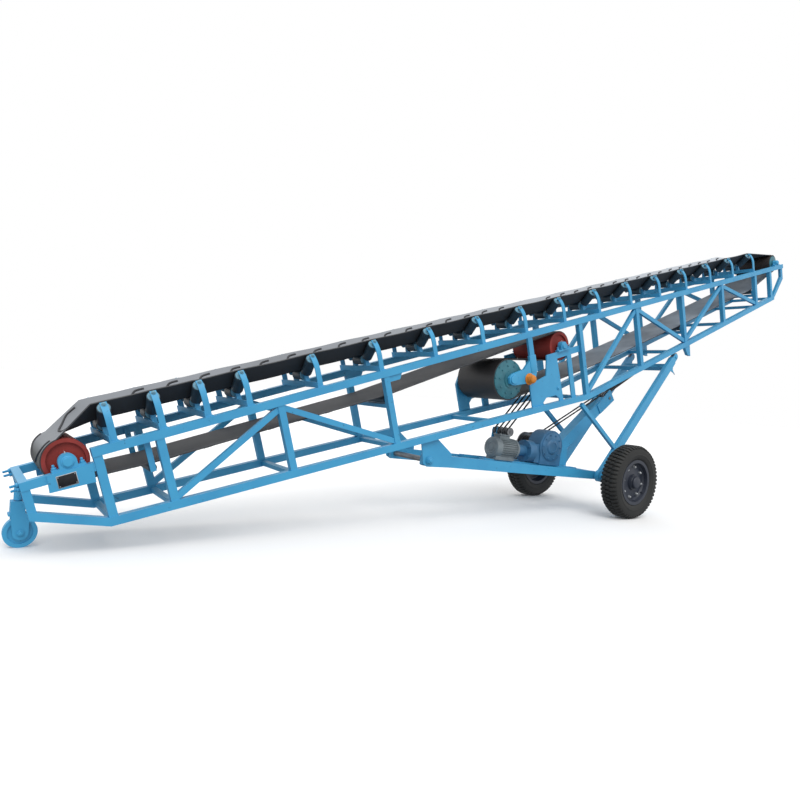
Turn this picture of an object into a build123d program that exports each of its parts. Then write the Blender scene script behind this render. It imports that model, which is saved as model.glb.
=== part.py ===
from build123d import *
import math
import os
from typing import NamedTuple

# Driving sizes, millimetres and degrees
TILT = math.radians(17.0)
P2_X = -4080.235
P2_Z = 782.0
CHORD = 60.0
CHORD_IN = 277.0
CHORD_OUT = 337.0
POST_IN = 282.0
POST_OUT = 332.0
BAY_POSTS = (-400.0, 0.0, 910.0, 1905.0, 4505.0, 5565.0, 6555.0, 7550.0, 8495.0, 8960.0)
POST_WIDTH = 56.0
CHORD_TAIL = -430.0
CHORD_HEAD = 9362.0
KNEE_S = 4505.0
KNEE_D = 845.0
TAIL_D = 475.0
HEAD_LOW_S = 9025.0
HEAD_LOW_D = 425.0
TAIL_END = -858.0
TAIL_BAR = 50.0
RAIL_TOP = 62.0
RAIL_BOTTOM = 118.0
DIAGONAL_WIDTH = 46.0
BELT_HALF = 265.0
BELT_T = 8.0
BELT_GAP = 0.5
TROUGH_HALF = 70.0
TROUGH_ANGLE = math.radians(40.0)
ROLLER_R = 44.0
IDLER_AXIS = -124.0
TYRE_R = 400.0
TRACK_HALF = 692.0
AXLE_X = 4905.0
AXLE_Z = 400.0
PIVOT_X = 2387.0
PIVOT_Z = 590.0
ARM_IN = 228.0
ARM_OUT = 271.0
LEG_IN = 282.0
LEG_OUT = 332.0
LEG_NOSE_R = 50.0
LEG_GAP = 7.0
CASTER_X = -748.0
CASTER_STEM_X = -770.0
CASTER_R = 100.0


class Drum(NamedTuple):
    s: float
    d: float
    r: float
    turn: int


TAIL_PULLEY = Drum(-574.0, 13.0, 140.0, 1)
BEND_PULLEY = Drum(4199.0, 212.0, 150.0, -1)
DRIVE_DRUM = Drum(3388.0, 395.0, 200.0, 1)
HEAD_PULLEY = Drum(9183.0, -72.0, 115.0, 1)
IDLERS = [-280.0 + 320.0 * n for n in range(3)] + [680.0 + 600.0 * n for n in range(14)]


def low(s):
    """Depth of the lower chord's centre line below the top chord's, at station s."""
    if s <= KNEE_S:
        return TAIL_D + (s + 400.0) * (KNEE_D - TAIL_D) / (KNEE_S + 400.0)
    return KNEE_D + (s - KNEE_S) * (HEAD_LOW_D - KNEE_D) / (HEAD_LOW_S - KNEE_S)


def world(s, d):
    """Station along the truss and depth below its top chord, as X and Z."""
    x = P2_X + s * math.cos(TILT) + d * math.sin(TILT)
    z = P2_Z + s * math.sin(TILT) - d * math.cos(TILT)
    return x, z


def prism(points, y0, y1):
    """A polygon of X, Z points pushed from y0 to y1."""
    wire = Polyline([(x, y0, z) for x, z in points], close=True)
    face = make_face(wire.edges())
    return Solid.extrude(face.face(), Vector(0, y1 - y0, 0))


def truss_prism(points, y0, y1):
    """A polygon of station, depth points pushed from y0 to y1."""
    return prism([world(s, d) for s, d in points], y0, y1)


def rod(x, z, r, y0, y1):
    """A round bar along Y."""
    plane = Plane(origin=(x, y0, z), x_dir=(1, 0, 0), z_dir=(0, 1, 0))
    return plane * Cylinder(r, y1 - y0, align=(Align.CENTER, Align.CENTER, Align.MIN))


def cross_prism(points, s0, s1):
    """A polygon of Y, depth points, square to the truss, pushed from station s0 to s1."""
    marks = []
    for y, d in points:
        x, z = world(s0, d)
        marks.append((x, y, z))
    face = make_face(Polyline(marks, close=True).edges())
    return Solid.extrude(face.face(), Vector(math.cos(TILT), 0, math.sin(TILT)) * (s1 - s0))


def truss_rod(s, d, r, y0, y1):
    x, z = world(s, d)
    return rod(x, z, r, y0, y1)


def ray_rod(start, end, r):
    """A round bar from one point to another."""
    a, b = Vector(*start), Vector(*end)
    plane = Plane(origin=a, z_dir=b - a)
    return plane * Cylinder(r, (b - a).length, align=(Align.CENTER, Align.CENTER, Align.MIN))


def both(solids):
    """The near pieces and their mirror images on the far side."""
    return list(solids) + [one.mirror(Plane.XZ) for one in solids]


def clip(points, inside):
    """The part of a convex polygon where the signed distance function isn't negative."""
    kept = []
    for a, b in zip(points, points[1:] + points[:1]):
        fa, fb = inside(a), inside(b)
        if fa >= 0:
            kept.append(a)
        if (fa > 0 > fb) or (fa < 0 < fb):
            t = fa / (fa - fb)
            kept.append((a[0] + t * (b[0] - a[0]), a[1] + t * (b[1] - a[1])))
    return kept


def save(name, solids):
    flat = []
    for one in solids if isinstance(solids, (list, tuple)) else [solids]:
        flat.extend(one.solids())
    export_step(Compound(children=flat) if len(flat) > 1 else flat[0], f"parts/{name}.step")


os.makedirs("parts", exist_ok=True)

# Truss chords and tail rails
half = CHORD / 2


def chord_run(s0, s1):
    return [(s0, low(s0) - half), (s1, low(s1) - half), (s1, low(s1) + half), (s0, low(s0) + half)]


top = truss_prism(
    [(CHORD_TAIL, -half), (CHORD_HEAD, -half), (CHORD_HEAD, half), (CHORD_TAIL, half)],
    -CHORD_OUT, -CHORD_IN)
save("top_chords", both([top]))
save("lower_chords_rear", both([truss_prism(chord_run(CHORD_TAIL, KNEE_S), -CHORD_OUT, -CHORD_IN)]))
save("lower_chords_front", both([truss_prism(chord_run(KNEE_S, HEAD_LOW_S), -CHORD_OUT, -CHORD_IN)]))
end_low = 276.0
upper_rail = [(TAIL_END + TAIL_BAR, RAIL_TOP), (CHORD_TAIL, RAIL_TOP), (CHORD_TAIL, RAIL_BOTTOM),
              (TAIL_END + TAIL_BAR, RAIL_BOTTOM)]
lower_rail = [(TAIL_END, end_low - half), (CHORD_TAIL, low(CHORD_TAIL) - half),
              (CHORD_TAIL, low(CHORD_TAIL) + half), (TAIL_END, end_low + half)]
save("tail_rails", both([truss_prism(p, -CHORD_OUT, -CHORD_IN) for p in (upper_rail, lower_rail)]))
tail_bar = [(TAIL_END, RAIL_TOP), (TAIL_END + TAIL_BAR, RAIL_TOP), (TAIL_END + TAIL_BAR, RAIL_BOTTOM),
            (TAIL_END, RAIL_BOTTOM)]
side_plate = [(-707.0, RAIL_TOP), (-440.0, RAIL_TOP), (-448.0, 186.0), (-716.0, 172.0)]

# Posts between the chords
posts = []
for s in BAY_POSTS:
    left, right = s - POST_WIDTH / 2, s + POST_WIDTH / 2
    foot = [(right, low(right) - half), (left, low(left) - half)]
    if left < KNEE_S < right:
        foot.insert(1, (KNEE_S, KNEE_D - half))
    posts.append(truss_prism([(left, half), (right, half)] + foot, -POST_OUT, -POST_IN))
slope = (low(CHORD_TAIL) - end_low) / (CHORD_TAIL - TAIL_END)
end_post = [(TAIL_END, RAIL_BOTTOM), (TAIL_END + TAIL_BAR, RAIL_BOTTOM),
            (TAIL_END + TAIL_BAR, end_low - half + slope * TAIL_BAR), (TAIL_END, end_low - half)]
posts.append(truss_prism(end_post, -POST_OUT, -POST_IN))
save("truss_posts", both(posts))


class Diagonal(NamedTuple):
    post_a: int
    post_b: int
    starts_low: bool


DIAGONALS = [Diagonal(1, 2, True), Diagonal(2, 3, False), Diagonal(4, 5, True), Diagonal(5, 6, False),
             Diagonal(6, 7, True), Diagonal(7, 8, False)]
diagonals = []
for row in DIAGONALS:
    sa = BAY_POSTS[row.post_a] + POST_WIDTH / 2
    sb = BAY_POSTS[row.post_b] - POST_WIDTH / 2
    reach = DIAGONAL_WIDTH * 0.55
    da = low(sa) - half - reach if row.starts_low else half + reach
    db = half + reach if row.starts_low else low(sb) - half - reach
    run = math.hypot(sb - sa, db - da)
    us, ud = (sb - sa) / run, (db - da) / run
    w = DIAGONAL_WIDTH / 2
    a = (sa - 200 * us, da - 200 * ud)
    b = (sb + 200 * us, db + 200 * ud)
    bar = [(a[0] - ud * w, a[1] + us * w), (b[0] - ud * w, b[1] + us * w),
           (b[0] + ud * w, b[1] - us * w), (a[0] + ud * w, a[1] - us * w)]
    bar = clip(bar, lambda p: p[0] - sa)
    bar = clip(bar, lambda p: sb - p[0])
    bar = clip(bar, lambda p: p[1] - half)
    bar = clip(bar, lambda p: low(p[0]) - half - p[1])
    diagonals.append(truss_prism(bar, -325, -289))
head_tie = [(HEAD_LOW_S, HEAD_LOW_D - half), (HEAD_LOW_S, HEAD_LOW_D + half), (CHORD_HEAD, 190.0),
            (CHORD_HEAD, half), (CHORD_HEAD - 60.0, half), (CHORD_HEAD - 60.0, 150.0)]
diagonals.append(truss_prism(head_tie, -325, -289))
save("truss_diagonals", both(diagonals))
CROSS_HALF = 19.0
cross_at = (-400.0, 0.0, 910.0, 1905.0, 3050.0, 4440.0, 5565.0, 6225.0, 7550.0, 8495.0, 8980.0)
cross_members = [truss_prism(tail_bar, -CHORD_OUT, CHORD_OUT)]
for s in cross_at:
    square = [(s - CROSS_HALF, low(s) - CROSS_HALF), (s + CROSS_HALF, low(s) - CROSS_HALF),
              (s + CROSS_HALF, low(s) + CROSS_HALF), (s - CROSS_HALF, low(s) + CROSS_HALF)]
    cross_members.append(truss_prism(square, -CHORD_IN, CHORD_IN))


# Pulleys, bearings and the drive
def pulley(drum, half_length, shaft_r, shaft_half, recess_r, recess):
    body = truss_rod(drum.s, drum.d, drum.r, -half_length, half_length)
    for y0, y1 in ((-half_length, -half_length + recess), (half_length - recess, half_length)):
        body -= truss_rod(drum.s, drum.d, recess_r, y0, y1)
    return (body + truss_rod(drum.s, drum.d, shaft_r, -shaft_half, shaft_half)).solid()


def pillow(drum, seat, half_base, housing_r, shaft_r, y0, y1):
    block = truss_rod(drum.s, drum.d, housing_r, y0, y1)
    block += truss_prism([(drum.s - housing_r, drum.d), (drum.s + housing_r, drum.d),
                          (drum.s + housing_r, seat), (drum.s - housing_r, seat)], y0, y1)
    block += truss_prism([(drum.s - half_base, seat - 16), (drum.s + half_base, seat - 16),
                          (drum.s + half_base, seat), (drum.s - half_base, seat)], y0, y1)
    block -= truss_prism([(drum.s - 200, seat), (drum.s + 200, seat), (drum.s + 200, seat + 100),
                          (drum.s - 200, seat + 100)], y0, y1)
    return (block - truss_rod(drum.s, drum.d, shaft_r, y0, y1)).solid()


save("idle_pulleys", [pulley(TAIL_PULLEY, 268.0, 22.0, 345.0, 116.0, 24.0),
                      pulley(BEND_PULLEY, 268.0, 22.0, 345.0, 120.0, 20.0)])
save("head_pulley", pulley(HEAD_PULLEY, 268.0, 20.0, 345.0, 92.0, 16.0))
blocks = [pillow(TAIL_PULLEY, RAIL_TOP, 100.0, 54.0, 22.0, -334.0, -284.0),
          pillow(BEND_PULLEY, 262.0, 92.0, 46.0, 22.0, -334.0, -284.0),
          pillow(HEAD_PULLEY, -half, 74.0, 38.0, 20.0, -334.0, -284.0)]
save("pillow_blocks", both(blocks))
drum = truss_rod(DRIVE_DRUM.s, DRIVE_DRUM.d, DRIVE_DRUM.r, -262.0, 262.0)
drum += truss_rod(DRIVE_DRUM.s, DRIVE_DRUM.d, 34.0, -350.0, 350.0)
save("drive_drum", drum.solid())
cover_x, cover_z = world(DRIVE_DRUM.s, DRIVE_DRUM.d)
cover_outline = [(34, -262), (196, -262), (196, -270), (172, -278), (110, -292), (84, -294), (84, -303),
                 (34, -303)]
cover_wire = Polyline([(cover_x + r, y, cover_z) for r, y in cover_outline], close=True)
cover = Solid.revolve(make_face(cover_wire.edges()).face(), 360, Axis((cover_x, 0, cover_z), (0, 1, 0)))
save("drum_covers", both([cover]))
hanger = truss_prism([(3668, half), (3732, half), (3738, 400), (3700, 476), (3600, 482), (3388, 454),
                      (3338, 424), (3338, 366), (3388, 336), (3560, 326), (3668, 250)], -332, -306)
hanger -= truss_rod(DRIVE_DRUM.s, DRIVE_DRUM.d, 34.0, -332, -306)
far_low = [(s, low(s) - half) for s in (3190.0, 3330.0, 3530.0, 3610.0)]
far_plate = truss_prism([(3190, 420), (3250, 336), (3530, 336), (3610, 420), far_low[3], far_low[2],
                         (3530, 660), (3490, 622), (3370, 622), (3330, 660), far_low[1], far_low[0]],
                        306, 332)
far_plate -= truss_rod(DRIVE_DRUM.s, DRIVE_DRUM.d, 34.0, 306, 332)
save("drum_brackets", [hanger.solid(), far_plate.solid()])
save("drum_terminal", truss_rod(3612, 440, 40.0, -392, -332))


def seat_low(s):
    return s, low(s) - half


post_face = KNEE_S - POST_WIDTH / 2
near_plate = [seat_low(3640.0), (3640, 505), (3900, 470), (3945, 262), (post_face, 262), (post_face, 330),
              (4330, 330), seat_low(4330.0), seat_low(4262.0), (4262, 330), (4100, 330), seat_low(4125.0),
              seat_low(4062.0), (4062, 752), (4015, 708), (3860, 700), (3808, 740), seat_low(3808.0)]
far_bracket = [seat_low(3930.0), (3930, 262), (post_face, 262), (post_face, 330), (4330, 330),
               seat_low(4330.0), seat_low(4262.0), (4262, 330), (4000, 330), seat_low(4000.0)]
save("drive_plates", [truss_prism(near_plate, -304, -290), truss_prism(far_bracket, 290, 304)])

# Trough idlers: angle beams across the chords, bent outer brackets and rollers
BEAM_FOOT = 8.0
seat = -half - BEAM_FOOT
beams = []
for s in IDLERS:
    angle_bar = [(s - 30, -half), (s + 30, -half), (s + 30, seat), (s - 22, seat), (s - 22, -76),
                 (s - 30, -76)]
    beams.append(truss_prism(angle_bar, -330, 330))
save("idler_beams", beams)
sa, ca = math.sin(TROUGH_ANGLE), math.cos(TROUGH_ANGLE)
belt_low = IDLER_AXIS - ROLLER_R - BELT_GAP
bend = BELT_T * math.tan(TROUGH_ANGLE / 2) / 2
WING_LENGTH = 165.0
CENTER_HALF = 64.0
PIN_IN = 24.0
HORN_R = 191.0
HORN_T = 10.0
HORN_ARC = math.radians(45.5)
wing_y0 = TROUGH_HALF + 18.0
wing_off = ROLLER_R + BELT_GAP
wing_start = (wing_y0 + wing_off * sa, belt_low - (wing_y0 - TROUGH_HALF - bend) * sa / ca + wing_off * ca)


def wing_axis(along, aside=0.0):
    """Y and depth on the axis of a wing roller, on the positive side."""
    return wing_start[0] + along * ca + aside * sa, wing_start[1] - along * sa + aside * ca


horn_c = wing_axis(10.0)
pin_out = 10.0 + HORN_R - HORN_T / 2 - 0.3


def horn(s):
    """A flat bar that stands on the beam and bends inwards to the outer end of a wing roller."""
    edges, ends = [], []
    for r in (HORN_R - HORN_T / 2, HORN_R + HORN_T / 2):
        marks = []
        for angle in (0.0, HORN_ARC / 2, HORN_ARC):
            x, z = world(s - 22, horn_c[1] - r * math.sin(angle))
            marks.append((x, -horn_c[0] - r * math.cos(angle), z))
        x, z = world(s - 22, seat)
        low_end = (x, -horn_c[0] - r, z)
        edges.append(ThreePointArc(*marks))
        edges.append(Line(low_end, marks[0]))
        ends.append((low_end, marks[2]))
    edges.append(Line(ends[0][0], ends[1][0]))
    edges.append(Line(ends[0][1], ends[1][1]))
    along = Vector(math.cos(TILT), 0, math.sin(TILT)) * 44.0
    return Solid.extrude(make_face(edges).face(), along)


inner_outline = [(76, seat), (116, seat), wing_axis(-PIN_IN, 14), wing_axis(-PIN_IN, -14), (82, -140),
                 (76, -132)]
brackets, rollers = [], []
for s in IDLERS:
    inner = cross_prism([(-y, d) for y, d in inner_outline], s - 18, s + 18)
    brackets.extend(both([horn(s), inner]))
    center = truss_rod(s, IDLER_AXIS, ROLLER_R, -CENTER_HALF, CENTER_HALF)
    center += truss_rod(s, IDLER_AXIS, 9.0, -76, 76)
    rollers.append(center.solid())

    def wing_point(along):
        y, d = wing_axis(along)
        x, z = world(s, d)
        return x, -y, z

    wing = ray_rod(wing_point(0), wing_point(WING_LENGTH), ROLLER_R)
    wing += ray_rod(wing_point(-PIN_IN), wing_point(pin_out), 8.0)
    rollers.extend(both([wing.solid()]))

# Belt: the carrying run with its ends, sagging return runs, and the wraps round the pulleys
CHAIN = [TAIL_PULLEY, BEND_PULLEY, DRIVE_DRUM, HEAD_PULLEY]
mid_r = [one.r + BELT_GAP + BELT_T / 2 for one in CHAIN]


def up(one):
    return one.s, -one.d


def tangent(ca_, ra, cb, rb):
    """Ends of the run from one centre to the next; a radius is signed by its turn."""
    dx, dy = cb[0] - ca_[0], cb[1] - ca_[1]
    span = math.hypot(dx, dy)
    angle = math.atan2(dy, dx) - math.asin((rb - ra) / span)
    nx, ny = -math.sin(angle), math.cos(angle)
    return (ca_[0] - ra * nx, ca_[1] - ra * ny), (cb[0] - rb * nx, cb[1] - rb * ny), angle


bed_mid = belt_low - BELT_T / 2
first, last = (IDLERS[0] - 50.0, -bed_mid), (IDLERS[-1] + 50.0, -bed_mid)
SAG_REAR = [(-80.0, 186.0), (1905.0, 197.0)]
SAG_FRONT = [(4871.0, 532.0), (6555.0, 408.0), (8495.0, 222.0)]
rear_sag, front_sag = [[((s, -d), 0.0) for s, d in sag] for sag in (SAG_REAR, SAG_FRONT)]
via = [[(first, 0.0)], rear_sag, [], front_sag, [(last, 0.0)]]
wheels = [(up(one), one.turn * r) for one, r in zip(CHAIN, mid_r)]
runs, bands = [], []
for n in range(5):
    stops = ([] if n == 0 else [wheels[n - 1]]) + via[n] + ([] if n == 4 else [wheels[n]])
    parts_of = [tangent(a[0], a[1], b[0], b[1]) for a, b in zip(stops, stops[1:])]
    runs.append((parts_of[0], parts_of[-1]))
    bands.append([parts_of[0][0]] + [one[1] for one in parts_of])


def band(points):
    """The belt along a line of station, height points, mitred at each bend."""
    sides = ([], [])
    for n, (s, h) in enumerate(points):
        slopes = [math.atan2(b[1] - a[1], b[0] - a[0])
                  for a, b in zip(points[max(n - 1, 0):n + 1], points[max(n, 1):n + 2])]
        mean, fold = sum(slopes) / len(slopes), (slopes[-1] - slopes[0]) / 2
        reach = BELT_T / 2 / math.cos(fold)
        for side, sign in zip(sides, (1, -1)):
            side.append((s - sign * reach * math.sin(mean), -h - sign * reach * math.cos(mean)))
    return truss_prism(sides[0] + sides[1][::-1], -BELT_HALF, BELT_HALF)


save("belt_return_runs", [band(one) for one in bands[1:-1]])
wraps = []
for n, one in enumerate(CHAIN):
    arrive, leave = runs[n][1][1], runs[n + 1][0][0]
    c = up(one)
    a0 = math.atan2(arrive[1] - c[1], arrive[0] - c[0])
    a1 = math.atan2(leave[1] - c[1], leave[0] - c[0])
    sweep = (a1 - a0) % (2 * math.pi) if one.turn > 0 else -((a0 - a1) % (2 * math.pi))
    edges = []
    ends = []
    for r in (one.r + BELT_GAP, one.r + BELT_GAP + BELT_T):
        marks = []
        for t in (0.0, 0.5, 1.0):
            a = a0 + t * sweep
            x, z = world(c[0] + r * math.cos(a), -(c[1] + r * math.sin(a)))
            marks.append((x, -BELT_HALF, z))
        edges.append(ThreePointArc(*marks))
        ends.append((marks[0], marks[2]))
    edges.append(Line(ends[0][0], ends[1][0]))
    edges.append(Line(ends[0][1], ends[1][1]))
    face = make_face(edges)
    wraps.append(Solid.extrude(face.face(), Vector(0, 2 * BELT_HALF, 0)))
save("belt_wraps", wraps)
tail_on, head_off = runs[0][1][1], runs[-1][0][0]


def section(point, direction, ring):
    """A closed wire: ring holds Y and height above the belt's middle."""
    marks = []
    for y, h in ring:
        s, v = point[0] + direction[0] * h, point[1] + direction[1] * h
        x, z = world(s, -v)
        marks.append((x, y, z))
    return Wire.make_polygon([Vector(*m) for m in marks], close=True)


t2 = BELT_T / 2
rise = (BELT_HALF - TROUGH_HALF) * sa
reach = (BELT_HALF - TROUGH_HALF) * ca
tail_angle, head_angle = runs[0][1][2] + math.pi, runs[-1][0][2] + math.pi
tail_up = (-math.sin(tail_angle), math.cos(tail_angle))
head_up = (-math.sin(head_angle), math.cos(head_angle))
level = (0.0, 1.0)
bed_flat = [(-TROUGH_HALF, -t2), (TROUGH_HALF, -t2), (TROUGH_HALF, t2), (-TROUGH_HALF, t2)]
bed_deep = [(-TROUGH_HALF - bend, -t2), (TROUGH_HALF + bend, -t2), (TROUGH_HALF - bend, t2),
            (-TROUGH_HALF + bend, t2)]
wing_flat = [(-BELT_HALF, -t2), (-TROUGH_HALF, -t2), (-TROUGH_HALF, t2), (-BELT_HALF, t2)]
edge_y, edge_h = -TROUGH_HALF - reach, rise
wing_deep = [(edge_y - t2 * sa, edge_h - t2 * ca), (-TROUGH_HALF - bend, -t2), (-TROUGH_HALF + bend, t2),
             (edge_y + t2 * sa, edge_h + t2 * ca)]


def trough_run(deep):
    return Solid.make_loft([section(first, level, deep), section(last, level, deep)], ruled=True)


def transitions(flat, deep):
    """The belt between the pulleys' flat tops and the first and last idlers."""
    tail = Solid.make_loft([section(tail_on, tail_up, flat), section(first, level, deep)], ruled=True)
    head = Solid.make_loft([section(last, level, deep), section(head_off, head_up, flat)], ruled=True)
    return [tail, head]


save("belt_bed", trough_run(bed_deep))
save("belt_wings", both([trough_run(wing_deep)]))
save("belt_transitions", transitions(bed_flat, bed_deep) + both(transitions(wing_flat, wing_deep)))


# Return rollers under the belt, one on hangers from the top chords and the others on bars between posts
class Carrier(NamedTuple):
    s: float
    d: float
    on_hangers: bool


CARRIERS = [Carrier(*SAG_REAR[0], True), Carrier(*SAG_REAR[1], False), Carrier(*SAG_FRONT[1], False),
            Carrier(*SAG_FRONT[2], False)]
RETURN_R = 30.0
holders, returns, bars = [], [], []
for row in CARRIERS:
    depth = row.d + (BELT_T / 2 + BELT_GAP + RETURN_R) * 1.012
    roller = truss_rod(row.s, depth, RETURN_R, -258, 258) + truss_rod(row.s, depth, 9.0, -266, 266)
    returns.append(roller.solid())
    ends = (-20.0, depth + 24) if row.on_hangers else (depth - 20, depth + RETURN_R + 8)
    holders.append(truss_prism([(row.s - 20, ends[0]), (row.s + 20, ends[0]), (row.s + 20, ends[1]),
                                (row.s - 20, ends[1])], -CHORD_IN, -266))
    if not row.on_hangers:
        bars.append(truss_prism([(row.s - 20, ends[1]), (row.s + 20, ends[1]), (row.s + 20, ends[1] + 34),
                                 (row.s - 20, ends[1] + 34)], -POST_IN, POST_IN))
save("belt_rollers", rollers + returns)
save("idler_brackets", brackets + both(holders))
save("cross_members", cross_members + bars)

# Pivot plates and shaft under the lower chords
px, pz = P2_X + PIVOT_X, PIVOT_Z


def chord_bottom(x):
    """Height of the lower chord's underside at X."""
    s = (x - P2_X) / math.cos(TILT)
    for _ in range(30):
        s = (x - P2_X - (low(s) + half) * math.sin(TILT)) / math.cos(TILT)
    return world(s, low(s) + half)[1]


plate_left, plate_right = P2_X + 2290.0, P2_X + 2470.0
plate = [(plate_left, chord_bottom(plate_left)), (plate_right, chord_bottom(plate_right)),
         (P2_X + 2655.0, 650.0), (P2_X + 2655.0, 520.0), (P2_X + 2370.0, 532.0), (P2_X + 2325.0, 560.0)]
pivot_plate = prism(plate, -297, -285) - rod(px, pz, 25.0, -297, -285)
save("pivot_shaft", rod(px, pz, 25.0, -306, 306))
stop = [(6520, low(6520) + half), (6640, low(6640) + half), (6632, 825), (6575, 800)]
splice = [(1905.0 + POST_WIDTH / 2, half), (2075.0, half), (2045.0, 82.0), (1905.0 + POST_WIDTH / 2, 82.0)]
plates = [pivot_plate.solid(), truss_prism(stop, -326, -288), truss_prism(splice, -322, -310)]
plates.append(truss_prism(side_plate, -CHORD_OUT - 8, -CHORD_OUT))
save("truss_plates", both(plates))

# Caster at the tail
stem_x = P2_X + CASTER_STEM_X
wheel_x = P2_X + CASTER_X
socket = Pos(stem_x, 0, 312) * Cylinder(26, 300, align=(Align.CENTER, Align.CENTER, Align.MIN))
socket -= truss_prism([(-1400, -300), (0, -300), (0, RAIL_BOTTOM), (-1400, RAIL_BOTTOM)], -200, 200)
socket -= Pos(stem_x, 0, 312) * Cylinder(12.05, 70, align=(Align.CENTER, Align.CENTER, Align.MIN))
save("caster_socket", socket.solid())
fork = Pos(stem_x, 0, 226) * Box(84, 84, 80, align=(Align.CENTER, Align.CENTER, Align.MIN))
fork += Pos(stem_x, 0, 300) * Cylinder(12.0, 72, align=(Align.CENTER, Align.CENTER, Align.MIN))
fork += Pos(wheel_x - 14, 0, 212) * Box(120, 84, 14, align=(Align.CENTER, Align.CENTER, Align.MIN))
cheek_outline = [(wheel_x - 62, 212), (wheel_x + 46, 212), (wheel_x + 46, CASTER_R), (wheel_x - 46, CASTER_R)]
cheek = prism(cheek_outline, -42, -32)
cheek += rod(wheel_x, CASTER_R, 46.0, -42, -32)
fork += cheek
fork += cheek.mirror(Plane.XZ)
fork += rod(wheel_x, CASTER_R, 12.0, -46, 46)
save("caster_fork", fork.solid())
caster = rod(wheel_x, CASTER_R, CASTER_R, -25, 25)
for y0, y1 in ((-25, -15), (15, 25)):
    caster -= rod(wheel_x, CASTER_R, 74.0, y0, y1)
caster += rod(wheel_x, CASTER_R, 30.0, -27, 27)
caster -= rod(wheel_x, CASTER_R, 12.05, -30, 30)
save("caster_wheel", caster.solid())

# Arms, axle and winch
axle_x, axle_z = P2_X + AXLE_X, AXLE_Z
arm_angle = math.atan2(axle_z - pz, axle_x - px)
arm_u = (math.cos(arm_angle), math.sin(arm_angle))
arm_n = (-arm_u[1], arm_u[0])
arm_length = math.hypot(axle_x - px, axle_z - pz)
AXLE_HALF = 40.0


def arm_point(along, above):
    return px + along * arm_u[0] + above * arm_n[0], pz + along * arm_u[1] + above * arm_n[1]


arm_end = arm_length - AXLE_HALF
arm = prism([arm_point(-50, -44), arm_point(-30, -54), arm_point(arm_end, -46), arm_point(arm_end, 46),
             arm_point(-30, 54), arm_point(-50, 44)], -ARM_OUT, -ARM_IN)
arm -= rod(px, pz, 25.05, -ARM_OUT, -ARM_IN)
save("arms", both([arm.solid()]))
axle = prism([arm_point(arm_end, -AXLE_HALF), arm_point(arm_end + 80, -AXLE_HALF),
              arm_point(arm_end + 80, AXLE_HALF), arm_point(arm_end, AXLE_HALF)], -276, 276)
axle += rod(axle_x, axle_z, 32.0, -560, 560)
axle += rod(axle_x, axle_z, 25.0, -786, 786)
for y in (-786.0, 766.0):
    axle += rod(axle_x, axle_z, 42.0, y, y + 20)
save("axle", axle.solid())


def arm_box(a0, a1, b0, b1, y0, y1):
    return prism([arm_point(a0, b0), arm_point(a1, b0), arm_point(a1, b1), arm_point(a0, b1)], y0, y1)


save("arm_cross_bars", [arm_box(a - 35, a + 35, -40, 30, -ARM_IN, ARM_IN) for a in (700.0, 1330.0, 2150.0)])
base_rails = [arm_box(820, 2280, 30, 60, y - 40, y + 40) for y in (-120.0, 180.0)]
MOTOR_Y = -110.0
motor_a = arm_point(950, 60 + 120)
motor_b = arm_point(1270, 60 + 120)
motor = ray_rod((motor_a[0], MOTOR_Y, motor_a[1]), (motor_b[0], MOTOR_Y, motor_b[1]), 98.0)
motor += arm_box(960, 1220, 60, 180, MOTOR_Y - 70, MOTOR_Y + 70)
motor += arm_box(1010, 1150, 180, 312, MOTOR_Y - 45, MOTOR_Y + 45)
save("winch_motor", motor.solid())
cover_b = arm_point(1420, 60 + 120)
cover_c = arm_point(1520, 60 + 120)
neck = ray_rod((motor_b[0], MOTOR_Y, motor_b[1]), (cover_b[0], MOTOR_Y, cover_b[1]), 60.0)
flange = ray_rod((cover_b[0], MOTOR_Y, cover_b[1]), (cover_c[0], MOTOR_Y, cover_c[1]), 116.0)
worm_x, worm_z = arm_point(1760, 60 + 196)
gearbox = rod(worm_x, worm_z, 180.0, -200, -20)
gearbox += arm_box(1600, 1930, 60, 256, -200, -20)
gearbox += arm_box(1520, 1640, 70, 270, -190, -30)
gearbox += neck
gearbox += flange
gearbox -= rod(worm_x, worm_z, 30.0, -60, 0)
save("winch_gearbox", gearbox.solid())
rope_drum = rod(worm_x, worm_z, 84.0, 0, 180)
rope_drum += rod(worm_x, worm_z, 130.0, -14, 0)
rope_drum += rod(worm_x, worm_z, 130.0, 180, 194)
rope_drum += rod(worm_x, worm_z, 30.0, -60, 214)
save("rope_drum", rope_drum.solid())
stand = arm_box(1700, 1820, 60, 290, 194, 214) - rod(worm_x, worm_z, 30.0, 194, 214)
save("winch_base", [base_rails[0], (base_rails[1] + stand).solid()])
beam_a = (P2_X + 4520.0, 687.0)
beam_b = (P2_X + 5235.0, 1249.0)
beam_len = math.hypot(beam_b[0] - beam_a[0], beam_b[1] - beam_a[1])
bu = ((beam_b[0] - beam_a[0]) / beam_len, (beam_b[1] - beam_a[1]) / beam_len)
bn = (-bu[1], bu[0])
BEAM_HALF = 72.0


def beam_point(along, above):
    return beam_a[0] + along * bu[0] + above * bn[0], beam_a[1] + along * bu[1] + above * bn[1]


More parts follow.
